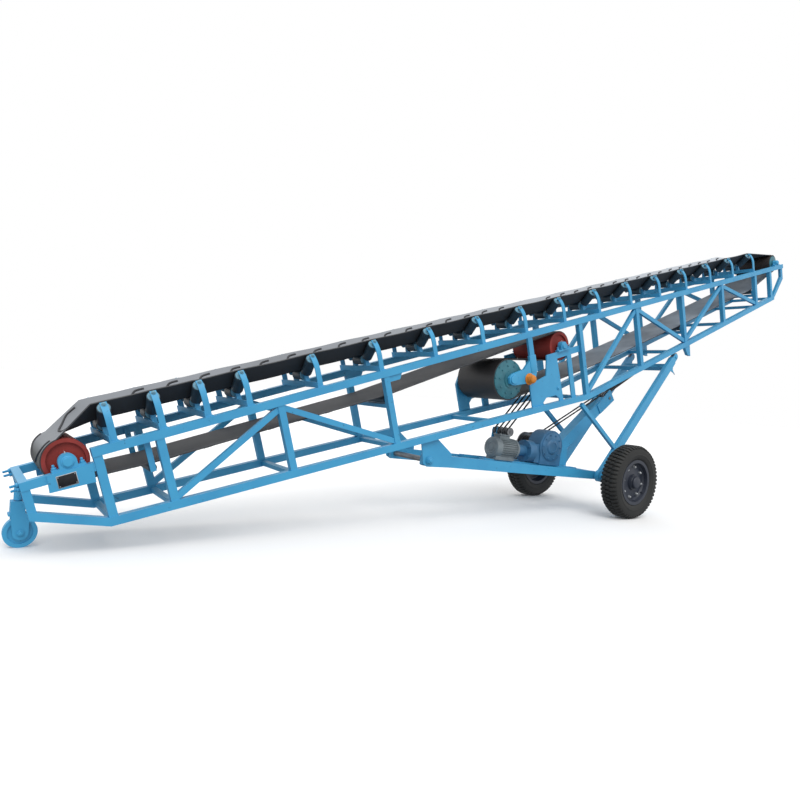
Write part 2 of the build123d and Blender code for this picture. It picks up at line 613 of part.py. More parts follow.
stub_x = (P2_X + 4486.0, P2_X + 4606.0)
beam = prism([(stub_x[0], 300), (stub_x[1], 300), (stub_x[1], 690), beam_point(beam_len, -BEAM_HALF),
              beam_point(beam_len, BEAM_HALF), (stub_x[0], 760)], -60, 60)
beam -= arm_box(1900, 2600, -400, 60, -100, 100)
head_cheek = prism([beam_point(beam_len - 150, -62), beam_point(beam_len + 150, -76),
                    beam_point(beam_len + 150, 76), beam_point(beam_len - 150, 62)], -72, -60)
pin_at = beam_point(beam_len + 84, 0)
head_cheek -= rod(pin_at[0], pin_at[1], 16.0, -72, -60)
beam = beam + head_cheek + head_cheek.mirror(Plane.XZ)
save("sheave_beam", beam.solid())
sheaves = rod(pin_at[0], pin_at[1], 16.0, -80, 80)
for y in (-30.0, 0.0, 30.0):
    sheaves += rod(pin_at[0], pin_at[1], 74.0, y - 9, y + 9)
sheaves += rod(pin_at[0], pin_at[1], 30.0, -60, 60)
save("head_sheaves", sheaves.solid())

# Legs from the axle to rollers under the lower chords
NOSE_S = 6290.0
rail_a = world(KNEE_S, KNEE_D + half)
rail_b = world(HEAD_LOW_S, HEAD_LOW_D + half)
rail_len = math.hypot(rail_b[0] - rail_a[0], rail_b[1] - rail_a[1])
rail_u = ((rail_b[0] - rail_a[0]) / rail_len, (rail_b[1] - rail_a[1]) / rail_len)
rail_n = (rail_u[1], -rail_u[0])
touch = world(NOSE_S, low(NOSE_S) + half)
nose_x = touch[0] + rail_n[0] * (LEG_NOSE_R + LEG_GAP)
nose_z = touch[1] + rail_n[1] * (LEG_NOSE_R + LEG_GAP)
leg_length = math.hypot(nose_x - axle_x, nose_z - axle_z)
leg_u = ((nose_x - axle_x) / leg_length, (nose_z - axle_z) / leg_length)
leg_n = (-leg_u[1], leg_u[0])


def leg_point(along, above):
    return axle_x + along * leg_u[0] + above * leg_n[0], axle_z + along * leg_u[1] + above * leg_n[1]


LEG_WIDTH = 104.0
lw = LEG_WIDTH / 2
leg = prism([leg_point(0, -lw), leg_point(leg_length - 62, -lw), leg_point(leg_length - 62, lw),
             leg_point(0, lw)], -LEG_OUT, -LEG_IN)
hook = [leg_point(leg_length - 190, -lw), leg_point(leg_length - 90, -lw),
        leg_point(leg_length - 140, -lw - 46), (nose_x + 36, nose_z - 224), (nose_x + 14, nose_z - 206)]
leg += prism(hook, -313, -301)
leg += rod(axle_x, axle_z, 66.0, -LEG_OUT, -LEG_IN)
for y0, y1 in ((-LEG_OUT, -LEG_OUT + 8), (-LEG_IN - 8, -LEG_IN)):
    leg += prism([leg_point(leg_length - 70, -38), leg_point(leg_length, -38), leg_point(leg_length, 38),
                  leg_point(leg_length - 70, 38)], y0, y1)
    leg += rod(nose_x, nose_z, 38.0, y0, y1)
    leg -= rod(nose_x, nose_z, 12.0, y0, y1)
leg -= rod(axle_x, axle_z, 32.05, -LEG_OUT, -LEG_IN)
save("legs", both([leg.solid()]))
nose = rod(nose_x, nose_z, LEG_NOSE_R, -LEG_OUT + 9, -LEG_IN - 9)
nose += rod(nose_x, nose_z, 12.0, -LEG_OUT, -LEG_IN)
save("leg_rollers", both([nose.solid()]))


def leg_box(a0, a1, b0, b1, y0, y1):
    return prism([leg_point(a0, b0), leg_point(a1, b0), leg_point(a1, b1), leg_point(a0, b1)], y0, y1)


save("leg_cross_beams", leg_box(leg_length - 245, leg_length - 183, -10, 50, -LEG_IN, LEG_IN))
brace_top = (P2_X + 4476.0, 1200.0)
foot = leg_point(400, 0)
br_len = math.hypot(brace_top[0] - foot[0], brace_top[1] - foot[1])
ru = ((brace_top[0] - foot[0]) / br_len, (brace_top[1] - foot[1]) / br_len)
rn = (-ru[1], ru[0])
brace = []
for end, side in ((foot, 22), (brace_top, 22), (brace_top, -22), (foot, -22)):
    brace.append((end[0] + rn[0] * side, end[1] + rn[1] * side))
brace = clip(brace, lambda p: (p[0] - axle_x) * leg_n[0] + (p[1] - axle_z) * leg_n[1] - lw)
save("leg_braces", both([prism(brace, -327, -287)]))

# Wheels
RIM_R = 228.0


def wheel_revolve(points):
    """Turns a closed outline of radius, Y points about the axle."""
    wire = Polyline([(axle_x + r, y - TRACK_HALF, axle_z) for r, y in points], close=True)
    face = make_face(wire.edges())
    return Solid.revolve(face.face(), 360, Axis((axle_x, 0, axle_z), (0, 1, 0)))


FACETS = 36
LUG = (40.0, 70.0, 50.0)
LUG_Y = 64.0
LUG_TOP = math.sqrt(TYRE_R ** 2 - (LUG[2] / 2) ** 2)
PHASE = math.asin(LUG[2] / 2 / TYRE_R)
tyre_half = [(RIM_R / math.cos(math.pi / FACETS), 70.0), (248.0, 74.0), (264.0, 90.0), (318.0, 102.0),
             (362.0, 96.0), (388.0, 74.0)]


def tyre_ring(half_outline):
    """A faceted ring about the axle line, flat where the lugs stand, from half of its section."""
    section = half_outline + [(r, -y) for r, y in reversed(half_outline)]

    def corner(n, k):
        r, y = section[k % len(section)]
        angle = math.tau * (n + 0.5) / FACETS + PHASE
        return Vector(axle_x + r * math.sin(angle), y - TRACK_HALF, axle_z + r * math.cos(angle))

    sides = []
    for n in range(FACETS):
        for k in range(len(section)):
            loop = [corner(n, k), corner(n + 1, k), corner(n + 1, k + 1), corner(n, k + 1)]
            sides.append(Face(Wire.make_polygon(loop, close=True)))
    return Solid(Shell(sides))


tyre = tyre_ring(tyre_half)
lugs = []
for n in range(FACETS):
    for side in (-1, 1):
        turn = 360.0 / FACETS * (n + (0.5 if side > 0 else 0.0)) + math.degrees(PHASE)
        lug = Pos(0, side * LUG_Y, LUG_TOP - LUG[0] / 2) * Box(LUG[2], LUG[1], LUG[0])
        lugs.append(Pos(axle_x, -TRACK_HALF, axle_z) * Rot(0, turn, 0) * lug)
tyre = tyre.fuse(*lugs).solid()
rim_outline = [(25.05, -62), (82, -62), (86, -40), (190, -26), (204, -46), (212, -84), (RIM_R + 18, -84),
               (RIM_R + 18, -75), (RIM_R, -72), (RIM_R, 72), (RIM_R + 18, 75), (RIM_R + 18, 84), (212, 84),
               (204, 50), (196, -8), (186, -12), (84, -12), (70, 60), (25.05, 60)]
rim = wheel_revolve(rim_outline)
save("near_tyre", tyre)
save("near_rim", rim)
save("far_tyre", tyre.mirror(Plane.XZ))
save("far_rim", rim.mirror(Plane.XZ))
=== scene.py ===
"""Looks of a mobile belt conveyor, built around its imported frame."""

import logging
import math
from bisect import bisect_right
from collections.abc import Callable, Iterator, Sequence
from contextlib import contextmanager
from dataclasses import dataclass
from enum import Enum

import bpy
from mathutils import Matrix, Vector

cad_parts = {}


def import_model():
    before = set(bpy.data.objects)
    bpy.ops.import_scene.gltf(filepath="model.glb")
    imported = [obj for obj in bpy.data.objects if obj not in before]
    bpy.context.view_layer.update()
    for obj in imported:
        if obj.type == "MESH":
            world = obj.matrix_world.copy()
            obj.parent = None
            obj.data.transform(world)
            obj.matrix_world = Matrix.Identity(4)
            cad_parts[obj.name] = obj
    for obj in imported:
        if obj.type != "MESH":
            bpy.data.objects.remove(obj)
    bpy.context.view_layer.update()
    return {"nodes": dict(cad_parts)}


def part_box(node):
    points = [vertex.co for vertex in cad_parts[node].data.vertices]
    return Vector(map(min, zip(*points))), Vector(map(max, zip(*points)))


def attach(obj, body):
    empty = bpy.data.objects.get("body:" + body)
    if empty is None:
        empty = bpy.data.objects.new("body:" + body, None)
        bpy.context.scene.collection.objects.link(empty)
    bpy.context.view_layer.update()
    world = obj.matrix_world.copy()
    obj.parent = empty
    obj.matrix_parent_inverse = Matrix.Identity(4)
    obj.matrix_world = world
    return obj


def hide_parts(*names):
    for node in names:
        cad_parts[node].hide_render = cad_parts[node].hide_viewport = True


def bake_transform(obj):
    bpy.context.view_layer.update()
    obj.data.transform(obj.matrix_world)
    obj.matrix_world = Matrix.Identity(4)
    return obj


LOG = logging.getLogger("conveyor")
MM = 0.001
SIDES = (-1, 1)
ORIGIN = Vector()
ASIDE = Vector((0, 1, 0))
UPRIGHT = Vector((0, 0, 1))
HOME = Matrix.Identity(4)
ARMS = "arm_frame"
TRUSS = "truss"

Piece = bpy.types.Object
Tree = bpy.types.NodeTree
Socket = bpy.types.NodeSocket
Pair = tuple[float, float]
Trio = tuple[float, float, float]
Outline = Sequence[Pair]


def hex_colour(text: str) -> tuple[float, ...]:
    """Turns an sRGB colour, six hex digits after a hash, into linear red, green, blue and alpha."""
    parts = [int(text[n:n + 2], 16) / 255 for n in (1, 3, 5)]
    return (*(p / 12.92 if p <= 0.04045 else ((p + 0.055) / 1.055) ** 2.4 for p in parts), 1)


def add_node(tree: Tree, kind: str, settings: dict | None = None,
             links: dict | None = None) -> bpy.types.Node:
    """Adds a shader node with its settings and links.

    Args:
        tree: the node tree that gets the node.
        kind: the node's type name.
        settings: properties by name, or input values by input name or number.
        links: sockets that feed the inputs, by input name or number.

    Returns:
        The new node.
    """
    node = tree.nodes.new(kind)
    for key, value in (settings or {}).items():
        if isinstance(key, str) and hasattr(node, key):
            setattr(node, key, value)
        else:
            node.inputs[key].default_value = value
    for key, socket in (links or {}).items():
        tree.links.new(socket, node.inputs[key])
    return node


def noise(tree: Tree, place: Socket, size_mm: float, detail: float) -> Socket:
    """Noise of a given size at a place."""
    settings = {"Scale": 1 / (size_mm * MM), "Detail": detail}
    return add_node(tree, "ShaderNodeTexNoise", settings, {"Vector": place}).outputs["Fac"]


def spread(tree: Tree, value: Socket, limits: Pair = (0, 1), result: Pair = (0, 1)) -> Socket:
    """Maps a value between two limits onto a result's range."""
    settings = dict(zip(("From Min", "From Max", "To Min", "To Max"), (*limits, *result)))
    return add_node(tree, "ShaderNodeMapRange", settings, {"Value": value}).outputs["Result"]


def part_of(tree: Tree, vector: Socket, axis: str) -> Socket:
    """One coordinate of a vector."""
    return add_node(tree, "ShaderNodeSeparateXYZ", links={"Vector": vector}).outputs[axis]


def mixed(tree: Tree, share: Socket, first: Socket | str, second: Socket | str) -> Socket:
    """Mixes two colours, each a hex colour or a socket, by the second one's share."""
    settings, links = {"data_type": "RGBA"}, {0: share}
    for number, colour in ((6, first), (7, second)):
        if isinstance(colour, str):
            settings[number] = hex_colour(colour)
        else:
            links[number] = colour
    return add_node(tree, "ShaderNodeMix", settings, links).outputs[2]


def new_material(name: str) -> tuple[bpy.types.Material, Tree, Socket]:
    """An empty material, its tree and its Object coordinates, which carry all patterns."""
    made = bpy.data.materials.new(name)
    made.use_nodes = True
    made.node_tree.nodes.clear()
    return made, made.node_tree, add_node(made.node_tree, "ShaderNodeTexCoord").outputs["Object"]


def surface(tree: Tree, relief: Socket, strength: float, depth_mm: float, settings: dict,
            links: dict) -> None:
    """Ends a material with its shader, which has the given values and feeds and a fine relief."""
    height = {"Strength": strength, "Distance": depth_mm * MM}
    bump = add_node(tree, "ShaderNodeBump", height, {"Height": relief})
    shader = add_node(tree, "ShaderNodeBsdfPrincipled", settings, {**links, "Normal": bump.outputs["Normal"]})
    add_node(tree, "ShaderNodeOutputMaterial", links={"Surface": shader.outputs["BSDF"]})


class Sheen(Enum):
    """How a finish was left by its maker."""

    GLOSS = 0.28
    SATIN = 0.42
    MATT = 0.68
    DUSTY = 0.85

    @property
    def roughness(self) -> Pair:
        """The roughness of a surface's smoothest and its most worn patches."""
        return self.value - 0.08, min(self.value + 0.14, 1)


@dataclass(frozen=True)
class Finish:
    """A surface in two tones with a fine grain, paler on its upper faces: dust on most finishes, but painted
    light on the belt's running side, and on both sides of the belt the pale tone shifts along X to a painted
    sheen.

    The patches are as wide as the drifts of colour that weather leaves on a machine that stands outside,
    the grain is that of brushed paint, rolled steel or moulded rubber, and the specks are chips and dirt.
    """

    name: str
    colour: str
    patch: str
    dust_and_light: str
    sheen: Sheen
    slot: str = ""
    metallic: float = 0
    dust_and_light_share: float = 0.25
    dust_and_light_slopes: Pair = (0.3, 1)
    dust_and_light_even: float = 0
    # A second pale colour that the upper faces shift to along X: a painted sheen
    painted_sheen_ahead: str = ""
    painted_sheen_span: Pair = (-2.8, 2.6)
    speck: str = "#3A3F42"
    speck_share: float = 0
    speck_grains: float = 8
    speck_edges: Pair = (0.69, 0.74)
    patch_mm: float = 320
    patch_edges: Pair = (0.35, 0.65)
    grain_mm: float = 3
    grain_depth_mm: float = 0.15
    grain_strength: float = 0.5

    def material(self) -> bpy.types.Material:
        """Builds the material."""
        made, tree, place = new_material(self.name)
        patches = noise(tree, place, self.patch_mm, 4)
        drift = spread(tree, patches, self.patch_edges)
        tone = mixed(tree, drift, self.colour, self.patch)
        specks = noise(tree, place, self.grain_mm * self.speck_grains, 3)
        chipped = spread(tree, specks, self.speck_edges, (0, self.speck_share))
        marked = mixed(tree, chipped, tone, self.speck)
        # Paler upper faces: dust on most finishes, painted light on the belt's running side; along X the pale
        # tone shifts to a painted sheen
        normal = add_node(tree, "ShaderNodeNewGeometry").outputs["Normal"]
        facing_up = spread(tree, part_of(tree, normal, "Z"), self.dust_and_light_slopes, (0, self.dust_and_light_share))
        broken = spread(tree, drift, result=(self.dust_and_light_even, 1))
        upper_share = add_node(tree, "ShaderNodeMath", {"operation": "MULTIPLY"}, {0: facing_up, 1: broken})
        ahead = spread(tree, part_of(tree, place, "X"), self.painted_sheen_span)
        dust_and_sheen = mixed(tree, ahead, self.dust_and_light, self.painted_sheen_ahead or self.dust_and_light)
        dust_and_light_tone = mixed(tree, upper_share.outputs["Value"], marked, dust_and_sheen)
        rough = spread(tree, patches, result=self.sheen.roughness)
        grain = noise(tree, place, self.grain_mm, 2)
        surface(tree, grain, self.grain_strength, self.grain_depth_mm, {"Metallic": self.metallic},
                {"Base Color": dust_and_light_tone, "Roughness": rough})
        return made


@dataclass(frozen=True)
class WireRope:
    """Greased steel rope: dark strands laid round each other, which show as slanting ridges."""

    name: str
    slot: str
    groove: str = "#15161A"
    strand: str = "#4A4B4D"
    lay_mm: float = 9
    waves_per_lay: float = 0.31
    unevenness: float = 0.4
    ridge_mm: float = 0.8
    ridge_strength: float = 0.8
    metallic: float = 0.6
    roughness: float = 0.45

    def material(self) -> bpy.types.Material:
        """Builds the material, with its strands as a wave that slants across the rope."""
        made, tree, place = new_material(self.name)
        scale = self.waves_per_lay / (self.lay_mm * MM)
        wave = {"bands_direction": "DIAGONAL", "Scale": scale, "Distortion": self.unevenness}
        lay = add_node(tree, "ShaderNodeTexWave", wave, {"Vector": place}).outputs["Fac"]
        surface(tree, lay, self.ridge_strength, self.ridge_mm,
                {"Metallic": self.metallic, "Roughness": self.roughness},
                {"Base Color": mixed(tree, lay, self.groove, self.strand)})
        return made


Coat = Finish | WireRope

# Alkyd enamel on welded steel: sky blue, a little uneven, paler where dust lies on it
FRAME_ENAMEL = Finish("blue_alkyd_enamel", "#40A1CF", "#3996C6", "#8CC0DE", Sheen.SATIN, "frame_blue",
                      dust_and_light_share=0.4, speck="#1F4B6C", speck_share=0.5, grain_mm=4)
# Vulcanised belt cover: black rubber made grey by the dust of what it carries, with a paler painted sheen
# towards the head
BELT_COVER = Finish("dusty_belt_rubber_painted_sheen", "#444645", "#4E504F", "#898D93", Sheen.MATT, "belt_rubber",
                    dust_and_light_share=1, dust_and_light_slopes=(0.1, 0.6), dust_and_light_even=0.8, painted_sheen_ahead="#BCC2C9",
                    patch_mm=700, grain_mm=6, grain_depth_mm=0.3, speck="#4E4F50", speck_share=0.5)
# The cover where it presses round the drive drum, painted dark as painted shade
DRUM_WRAP_SHADE = Finish("painted_shade_belt_rubber", "#2B2A2B", "#343234", "#4C4A4A", Sheen.SATIN, patch_mm=180,
                      grain_mm=5, grain_depth_mm=0.25)
# The belt's running side: black rubber, painted paler where it faces up as painted light, left near black
# below as painted shade, and paler towards the head as a painted sheen
BELT_CARCASS = Finish("black_belt_rubber", "#32353A", "#3A3C40", "#646363", Sheen.MATT, dust_and_light_share=1,
                      dust_and_light_even=0.5, painted_sheen_ahead="#98A2AC", painted_sheen_span=(0, 1.2), patch_mm=500,
                      grain_mm=4, grain_depth_mm=0.25)
# Ribs of the belt: rubber that keeps its black on the flanks
RIB_RUBBER = Finish("black_rib_rubber", "#2B2C30", "#3A3B3F", "#5A5A5D", Sheen.MATT, "belt_rubber",
                    patch_mm=90)
# Red oxide primer on the idle pulleys: flat and brick coloured
PULLEY_PRIMER = Finish("red_oxide_primer", "#93302A", "#7E2720", "#A8645A", Sheen.MATT, speck="#5A2A26",
                       speck_share=0.6, patch_mm=120)
# Hammered teal enamel on the castings of the drum and the head pulley
CASTING_ENAMEL = Finish("teal_casting_enamel", "#357684", "#2E6775", "#6C9DAB", Sheen.SATIN, "pulley_green",
                        grain_mm=7, grain_depth_mm=0.35, patch_mm=90)
# Rubber lagging of the drive drum, scuffed by the belt, its black darkened further as painted shade
DRUM_LAGGING = Finish("black_drum_lagging", "#2B2525", "#372E2C", "#4A423F", Sheen.MATT, patch_mm=140)
# Orange enamel of the cable gland
GLAND_ENAMEL = Finish("orange_enamel", "#DC8A2C", "#C6761F", "#E5AE6B", Sheen.SATIN, "terminal_orange",
                      patch_mm=40, speck="#6B3F18", speck_share=0.7)
# Blue-black enamel of the carrying rollers
ROLLER_ENAMEL = Finish("black_roller_enamel", "#283A46", "#314654", "#55646E", Sheen.SATIN, patch_mm=60)
# Moulded nylon seal at the rollers' ends: pale sea green and slightly chalky
SEAL_NYLON = Finish("sea_green_nylon", "#6A9DB2", "#5C8FA6", "#9CC0CC", Sheen.SATIN, "pulley_green",
                    patch_mm=40)
# Turned steel left bare: grey, with a soft highlight and a film of oil
TURNED_STEEL = Finish("turned_steel", "#8C8E91", "#77797C", "#A0A1A2", Sheen.SATIN, "bare_steel",
                      metallic=0.9, patch_mm=80, grain_mm=1.5)
# Zinc plating on bolts and nuts: bright, with a slight bloom
ZINC = Finish("bright_zinc", "#C9CCCE", "#B3B6B8", "#D5D6D6", Sheen.GLOSS, "bare_steel", metallic=0.9,
              patch_mm=20)
# Grey stove enamel on the motor's cast shell
MOTOR_ENAMEL = Finish("grey_motor_enamel", "#7B868B", "#6A7479", "#979DA0", Sheen.SATIN, "motor_grey",
                      patch_mm=90)
# Darker blue machinery enamel on the gearbox casting
GEARBOX_ENAMEL = Finish("blue_casting_enamel", "#386F98", "#306185", "#6E9DBD", Sheen.SATIN, "gearbox_blue",
                        grain_mm=6, grain_depth_mm=0.3, patch_mm=110)
# Tyre rubber: black, with a little road dust in its grain
TYRE_RUBBER = Finish("dusty_tyre_rubber", "#1F2020", "#292928", "#4A4843", Sheen.MATT, "tyre_rubber",
                     patch_mm=110, speck="#454340", speck_share=0.4)
# Wheel discs in blue-black enamel
RIM_ENAMEL = Finish("blue_black_enamel", "#272C38", "#2F3542", "#474B55", Sheen.SATIN, "rim_black",
                    patch_mm=120)
# Black anodised aluminium of the blank name plate
PLATE_ANODISED = Finish("black_anodised_plate", "#17181A", "#222326", "#3B3C3E", Sheen.SATIN, "drum_dark",
                        metallic=0.4, patch_mm=30)
ROPE = WireRope("greased_wire_rope", "bare_steel")
# Pale matt floor of the studio
FLOOR = Finish("pale_floor", "#FDFDFD", "#FCFCFC", "#FEFEFE", Sheen.DUSTY,
               patch_mm=2500, grain_depth_mm=0)

NODE_FINISHES = {
    FRAME_ENAMEL: ("top_chords", "lower_chords_rear", "lower_chords_front", "tail_rails", "truss_plates",
                   "truss_posts", "truss_diagonals", "cross_members", "pillow_blocks", "drum_brackets",
                   "drive_plates", "idler_beams", "idler_brackets", "caster_socket",
                   "caster_fork", "caster_wheel", "arms", "axle", "arm_cross_bars", "winch_base",
                   "sheave_beam", "legs", "leg_cross_beams", "leg_braces"),
    PULLEY_PRIMER: ("idle_pulleys",),
    CASTING_ENAMEL: ("drum_covers",),
    DRUM_LAGGING: ("drive_drum", "head_pulley"),
    GLAND_ENAMEL: ("drum_terminal",),
    ROLLER_ENAMEL: ("belt_rollers",),
    TURNED_STEEL: ("pivot_shaft", "leg_rollers", "head_sheaves", "rope_drum"),
    MOTOR_ENAMEL: ("winch_motor",),
    GEARBOX_ENAMEL: ("winch_gearbox",),
    RIM_ENAMEL: ("near_rim", "far_rim"),
}


class Paints:
    """Makes each finish's material once and hands it out."""

    def __init__(self) -> None:
        """Starts with no material made."""
        self._made: dict[Coat, bpy.types.Material] = {}

    def coat(self, piece: Piece, *finishes: Coat) -> None:
        """Puts finishes on a piece, one to each material slot."""
        piece.data.materials.clear()
        for finish in finishes:
            if finish not in self._made:
                self._made[finish] = finish.material()
            piece.data.materials.append(self._made[finish])


def add_primitive(kind: str, name: str, **settings: object) -> Piece:
    """Adds a mesh primitive of a kind such as cube or grid, with everything else deselected."""
    bpy.ops.object.select_all(action="DESELECT")
    getattr(bpy.ops.mesh, f"primitive_{kind}_add")(**settings)
    made = bpy.context.active_object
    made.name = name
    made.data.name = name
    return made


def add_sheet(name: str, columns: int, rows: int) -> tuple[Piece, list[tuple[int, int]]]:
    """Adds a grid, and says in which column and row each of its points lies."""
    made = add_primitive("grid", name, x_subdivisions=columns - 1, y_subdivisions=rows - 1, size=2)
    cells = [(round((point.co.x + 1) / 2 * (columns - 1)), round((point.co.y + 1) / 2 * (rows - 1)))
             for point in made.data.vertices]
    return made, cells


def make_active(piece: Piece) -> None:
    """Selects one piece alone."""
    bpy.ops.object.select_all(action="DESELECT")
    piece.select_set(True)
    bpy.context.view_layer.objects.active = piece


@contextmanager
def editing(piece: Piece, mode: str = "FACE", whole: bool = True) -> Iterator[None]:
    """Holds a piece in edit mode, with the given kind of selection, and all of it selected if it is whole."""
    make_active(piece)
    bpy.ops.object.mode_set(mode="EDIT")
    bpy.ops.mesh.select_mode(type=mode)
    if whole:
        bpy.ops.mesh.select_all(action="SELECT")
    yield
    bpy.ops.object.mode_set(mode="OBJECT")


def weld() -> None:
    """Merges the selected points that lie together."""
    bpy.ops.mesh.remove_doubles(threshold=1e-5)


def face_outward() -> None:
    """Turns all faces of the edited piece outward."""
    bpy.ops.mesh.select_all(action="SELECT")
    bpy.ops.mesh.normals_make_consistent(inside=False)


def pick_faces(piece: Piece, test: Callable[[Vector], bool]) -> None:
    """Selects the faces whose centre passes a test, and nothing else."""
    mesh = piece.data
    for parts in (mesh.vertices, mesh.edges, mesh.polygons):
        parts.foreach_set("select", [False] * len(parts))
    for face in mesh.polygons:
        face.select = test(face.center)


def modify(piece: Piece, kind: str, **settings: object) -> None:
    """Adds a modifier with its settings and applies it."""
    make_active(piece)
    added = piece.modifiers.new(kind.title(), kind)
    for key, value in settings.items():
        setattr(added, key, value)
    bpy.ops.object.modifier_apply(modifier=added.name)


def smooth(piece: Piece, degrees: float = 35) -> None:
    """Shades a piece smooth, with its sharp edges kept."""
    make_active(piece)
    bpy.ops.object.shade_smooth_by_angle(angle=math.radians(degrees))


def along(start: Vector, way: Vector) -> Matrix:
    """A placing whose local Z starts at a point and goes one way."""
    return Matrix.Translation(start) @ way.to_track_quat("Z", "Y").to_matrix().to_4x4()


def facing(origin: Vector, across: Vector, upward: Vector) -> Matrix:
    """A placing whose local X and Y go two given ways from an origin."""
    basis = Matrix((across, upward, across.cross(upward))).transposed().to_4x4()
    return Matrix.Translation(origin) @ basis


def around(count: int, shift: float = 0.5) -> list[float]:
    """Even steps of a full turn, the first of them a share of a step past zero."""
    return [math.tau * (n + shift) / count for n in range(count)]


def middle(node: str) -> Vector:
    """The middle of a carried-over node's box, in metres."""
    low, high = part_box(node)
    return (low + high) / 2


def outer_ends(axis: Vector, node: str, inset: float = 0) -> list[tuple[Vector, Vector]]:
    """Where an axis across the machine leaves a node's box, less an inset, and which way is out."""
    edges = [corner.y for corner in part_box(node)]
    return [(Vector((axis.x, edge - side * inset * MM, axis.z)), ASIDE * side)
            for side, edge in zip(SIDES, edges)]


def lathe(name: str, outline: Outline, start: Vector = ORIGIN, way: Vector = UPRIGHT,
          steps: int = 32) -> Piece:
    """Spins a closed outline about an axis, as a lathe does.

    Args:
        name: the new object's name.
        outline: radius and height of each corner, in millimetres.
        start: where the axis starts, in metres.
        way: which way the axis goes.
        steps: how many times the outline is repeated round the axis.

    Returns:
        The closed turned piece, in its place.
    """
    made = add_primitive("circle", name, vertices=len(outline), fill_type="NOTHING")
    for vertex, (radius, height) in zip(made.data.vertices, outline):
        vertex.co = (radius * MM, 0, height * MM)
    with editing(made, "VERT"):
        bpy.ops.mesh.spin(steps=steps, angle=math.tau, center=(0, 0, 0), axis=(0, 0, 1))
        bpy.ops.mesh.select_all(action="SELECT")
        weld()
        bpy.ops.mesh.dissolve_degenerate(threshold=1e-6)
        bpy.ops.mesh.delete_loose()
        face_outward()
    made.data.transform(along(start, way))
    return made


def block(name: str, size: Sequence[float], bevel: float, place: Matrix = HOME) -> Piece:
    """A box in millimetres whose edges are rounded by a bevel, centred on a place."""
    made = add_primitive("cube", name, size=1)
    made.data.transform(Matrix.Diagonal((*[edge * MM for edge in size], 1)))
    modify(made, "BEVEL", width=bevel * MM, segments=2)
    made.data.transform(place)
    return made


def hex_bolt(radius: float, head: float, stud: float = 0) -> Piece:
    """A bolt head or nut with its washer and stud end, standing on local Z.

    Args:
        radius: from the middle to a corner of the hexagon, in millimetres.
        head: the hexagon's height.
        stud: how far the threaded end stands out of the nut, if it does.

    Returns:
        The bolt.
    """
    washer = radius * 0.2
    hole, rim = radius * 0.5, radius * 1.2
    section = ((hole, 0), (rim, 0), (rim, washer * 0.8), (radius * 1.1, washer), (hole, washer))
    ring = lathe("bolt", section, steps=20)
    nut = add_primitive("cylinder", "bolt", vertices=6, radius=radius * MM, depth=head * MM)
    nut.data.transform(Matrix.Translation((0, 0, (washer + head / 2) * MM)))
    modify(nut, "BEVEL", width=radius * 0.1 * MM, segments=1)
    pieces = [ring, nut]
    if stud:
        top, sunk = washer + head, 1
        ridges = [(0, top - sunk)]
        count = max(3, round(stud / 3))
        for n in range(count):
            base = top - sunk + stud * n / count
            ridges.extend(((radius * 0.56, base), (radius * 0.48, base + stud / count / 2)))
        ridges.extend(((radius * 0.4, top + stud), (0, top + stud)))
        pieces.append(lathe("bolt", ridges, steps=14))
    return joined("bolt", pieces)


def joined(name: str, pieces: Sequence[Piece]) -> Piece:
    """Joins pieces into one object with a given name."""
    make_active(pieces[0])
    for piece in pieces[1:]:
        piece.select_set(True)
    if len(pieces) > 1:
        bpy.ops.object.join()
    pieces[0].name = name
    pieces[0].data.name = name
    return pieces[0]


def duplicate(model: Piece) -> Piece:
    """A copy of a model with a mesh of its own."""
    copy = model.copy()
    copy.data = model.data.copy()
    bpy.context.scene.collection.objects.link(copy)
    return copy


def copied(name: str, model: Piece, places: Sequence[Matrix]) -> Piece:
    """Copies a model to each place, removes the model, and joins the copies."""
    copies = []
    for place in places:
        copies.append(duplicate(model))
        copies[-1].data.transform(place)
    bpy.data.objects.remove(model)
    return joined(name, copies)


@dataclass(frozen=True)
class TrussLine:
    """The truss's own coordinates: station along the top chord, depth below it, in millimetres."""

    origin_x: float
    origin_z: float = 782
    tilt: float = math.radians(17)

    @classmethod
    def from_frame(cls, pivot_ahead: float = 2387) -> "TrussLine":
        """Finds the truss's origin from the pivot shaft, which lies a known way ahead of it."""
        return cls(middle("pivot_shaft").x / MM - pivot_ahead)

    def at(self, station: float, depth: float, y: float = 0) -> Vector:
        """The point at a station and depth, in metres."""
        x = self.origin_x + station * math.cos(self.tilt) + depth * math.sin(self.tilt)
        z = self.origin_z + station * math.sin(self.tilt) - depth * math.cos(self.tilt)
        return Vector((x, y, z)) * MM

    def ground(self, x: float, y: float, z: float) -> Vector:
        """The point at a level distance from the truss's origin, in metres."""
        return Vector((self.origin_x + x, y, z)) * MM

    @property
    def up(self) -> Vector:
        """The direction square to the chords."""
        return Vector((-math.sin(self.tilt), 0, math.cos(self.tilt)))

    @property
    def ahead(self) -> Vector:
        """The direction along the chords, to the head."""
        return Vector((math.cos(self.tilt), 0, math.sin(self.tilt)))


@dataclass
class Trim:
    """Pieces of one part of the machine, each riding on the body that carries it."""

    line: TrussLine
    paints: Paints

    def dress(self, piece: Piece, finish: Coat = FRAME_ENAMEL, body: str = TRUSS) -> None:
        """Coats and shades a piece and lets it ride on a body, if one is given."""
        self.paints.coat(piece, finish)
        smooth(piece)
        if body:
            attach(piece, body)

    def repeat(self, name: str, model: Piece, places: Sequence[Matrix], finish: Coat = FRAME_ENAMEL,
               body: str = TRUSS) -> None:
        """Copies a fitting to each of its places and dresses the copies as one piece."""
        self.dress(copied(name, model, places), finish, body)


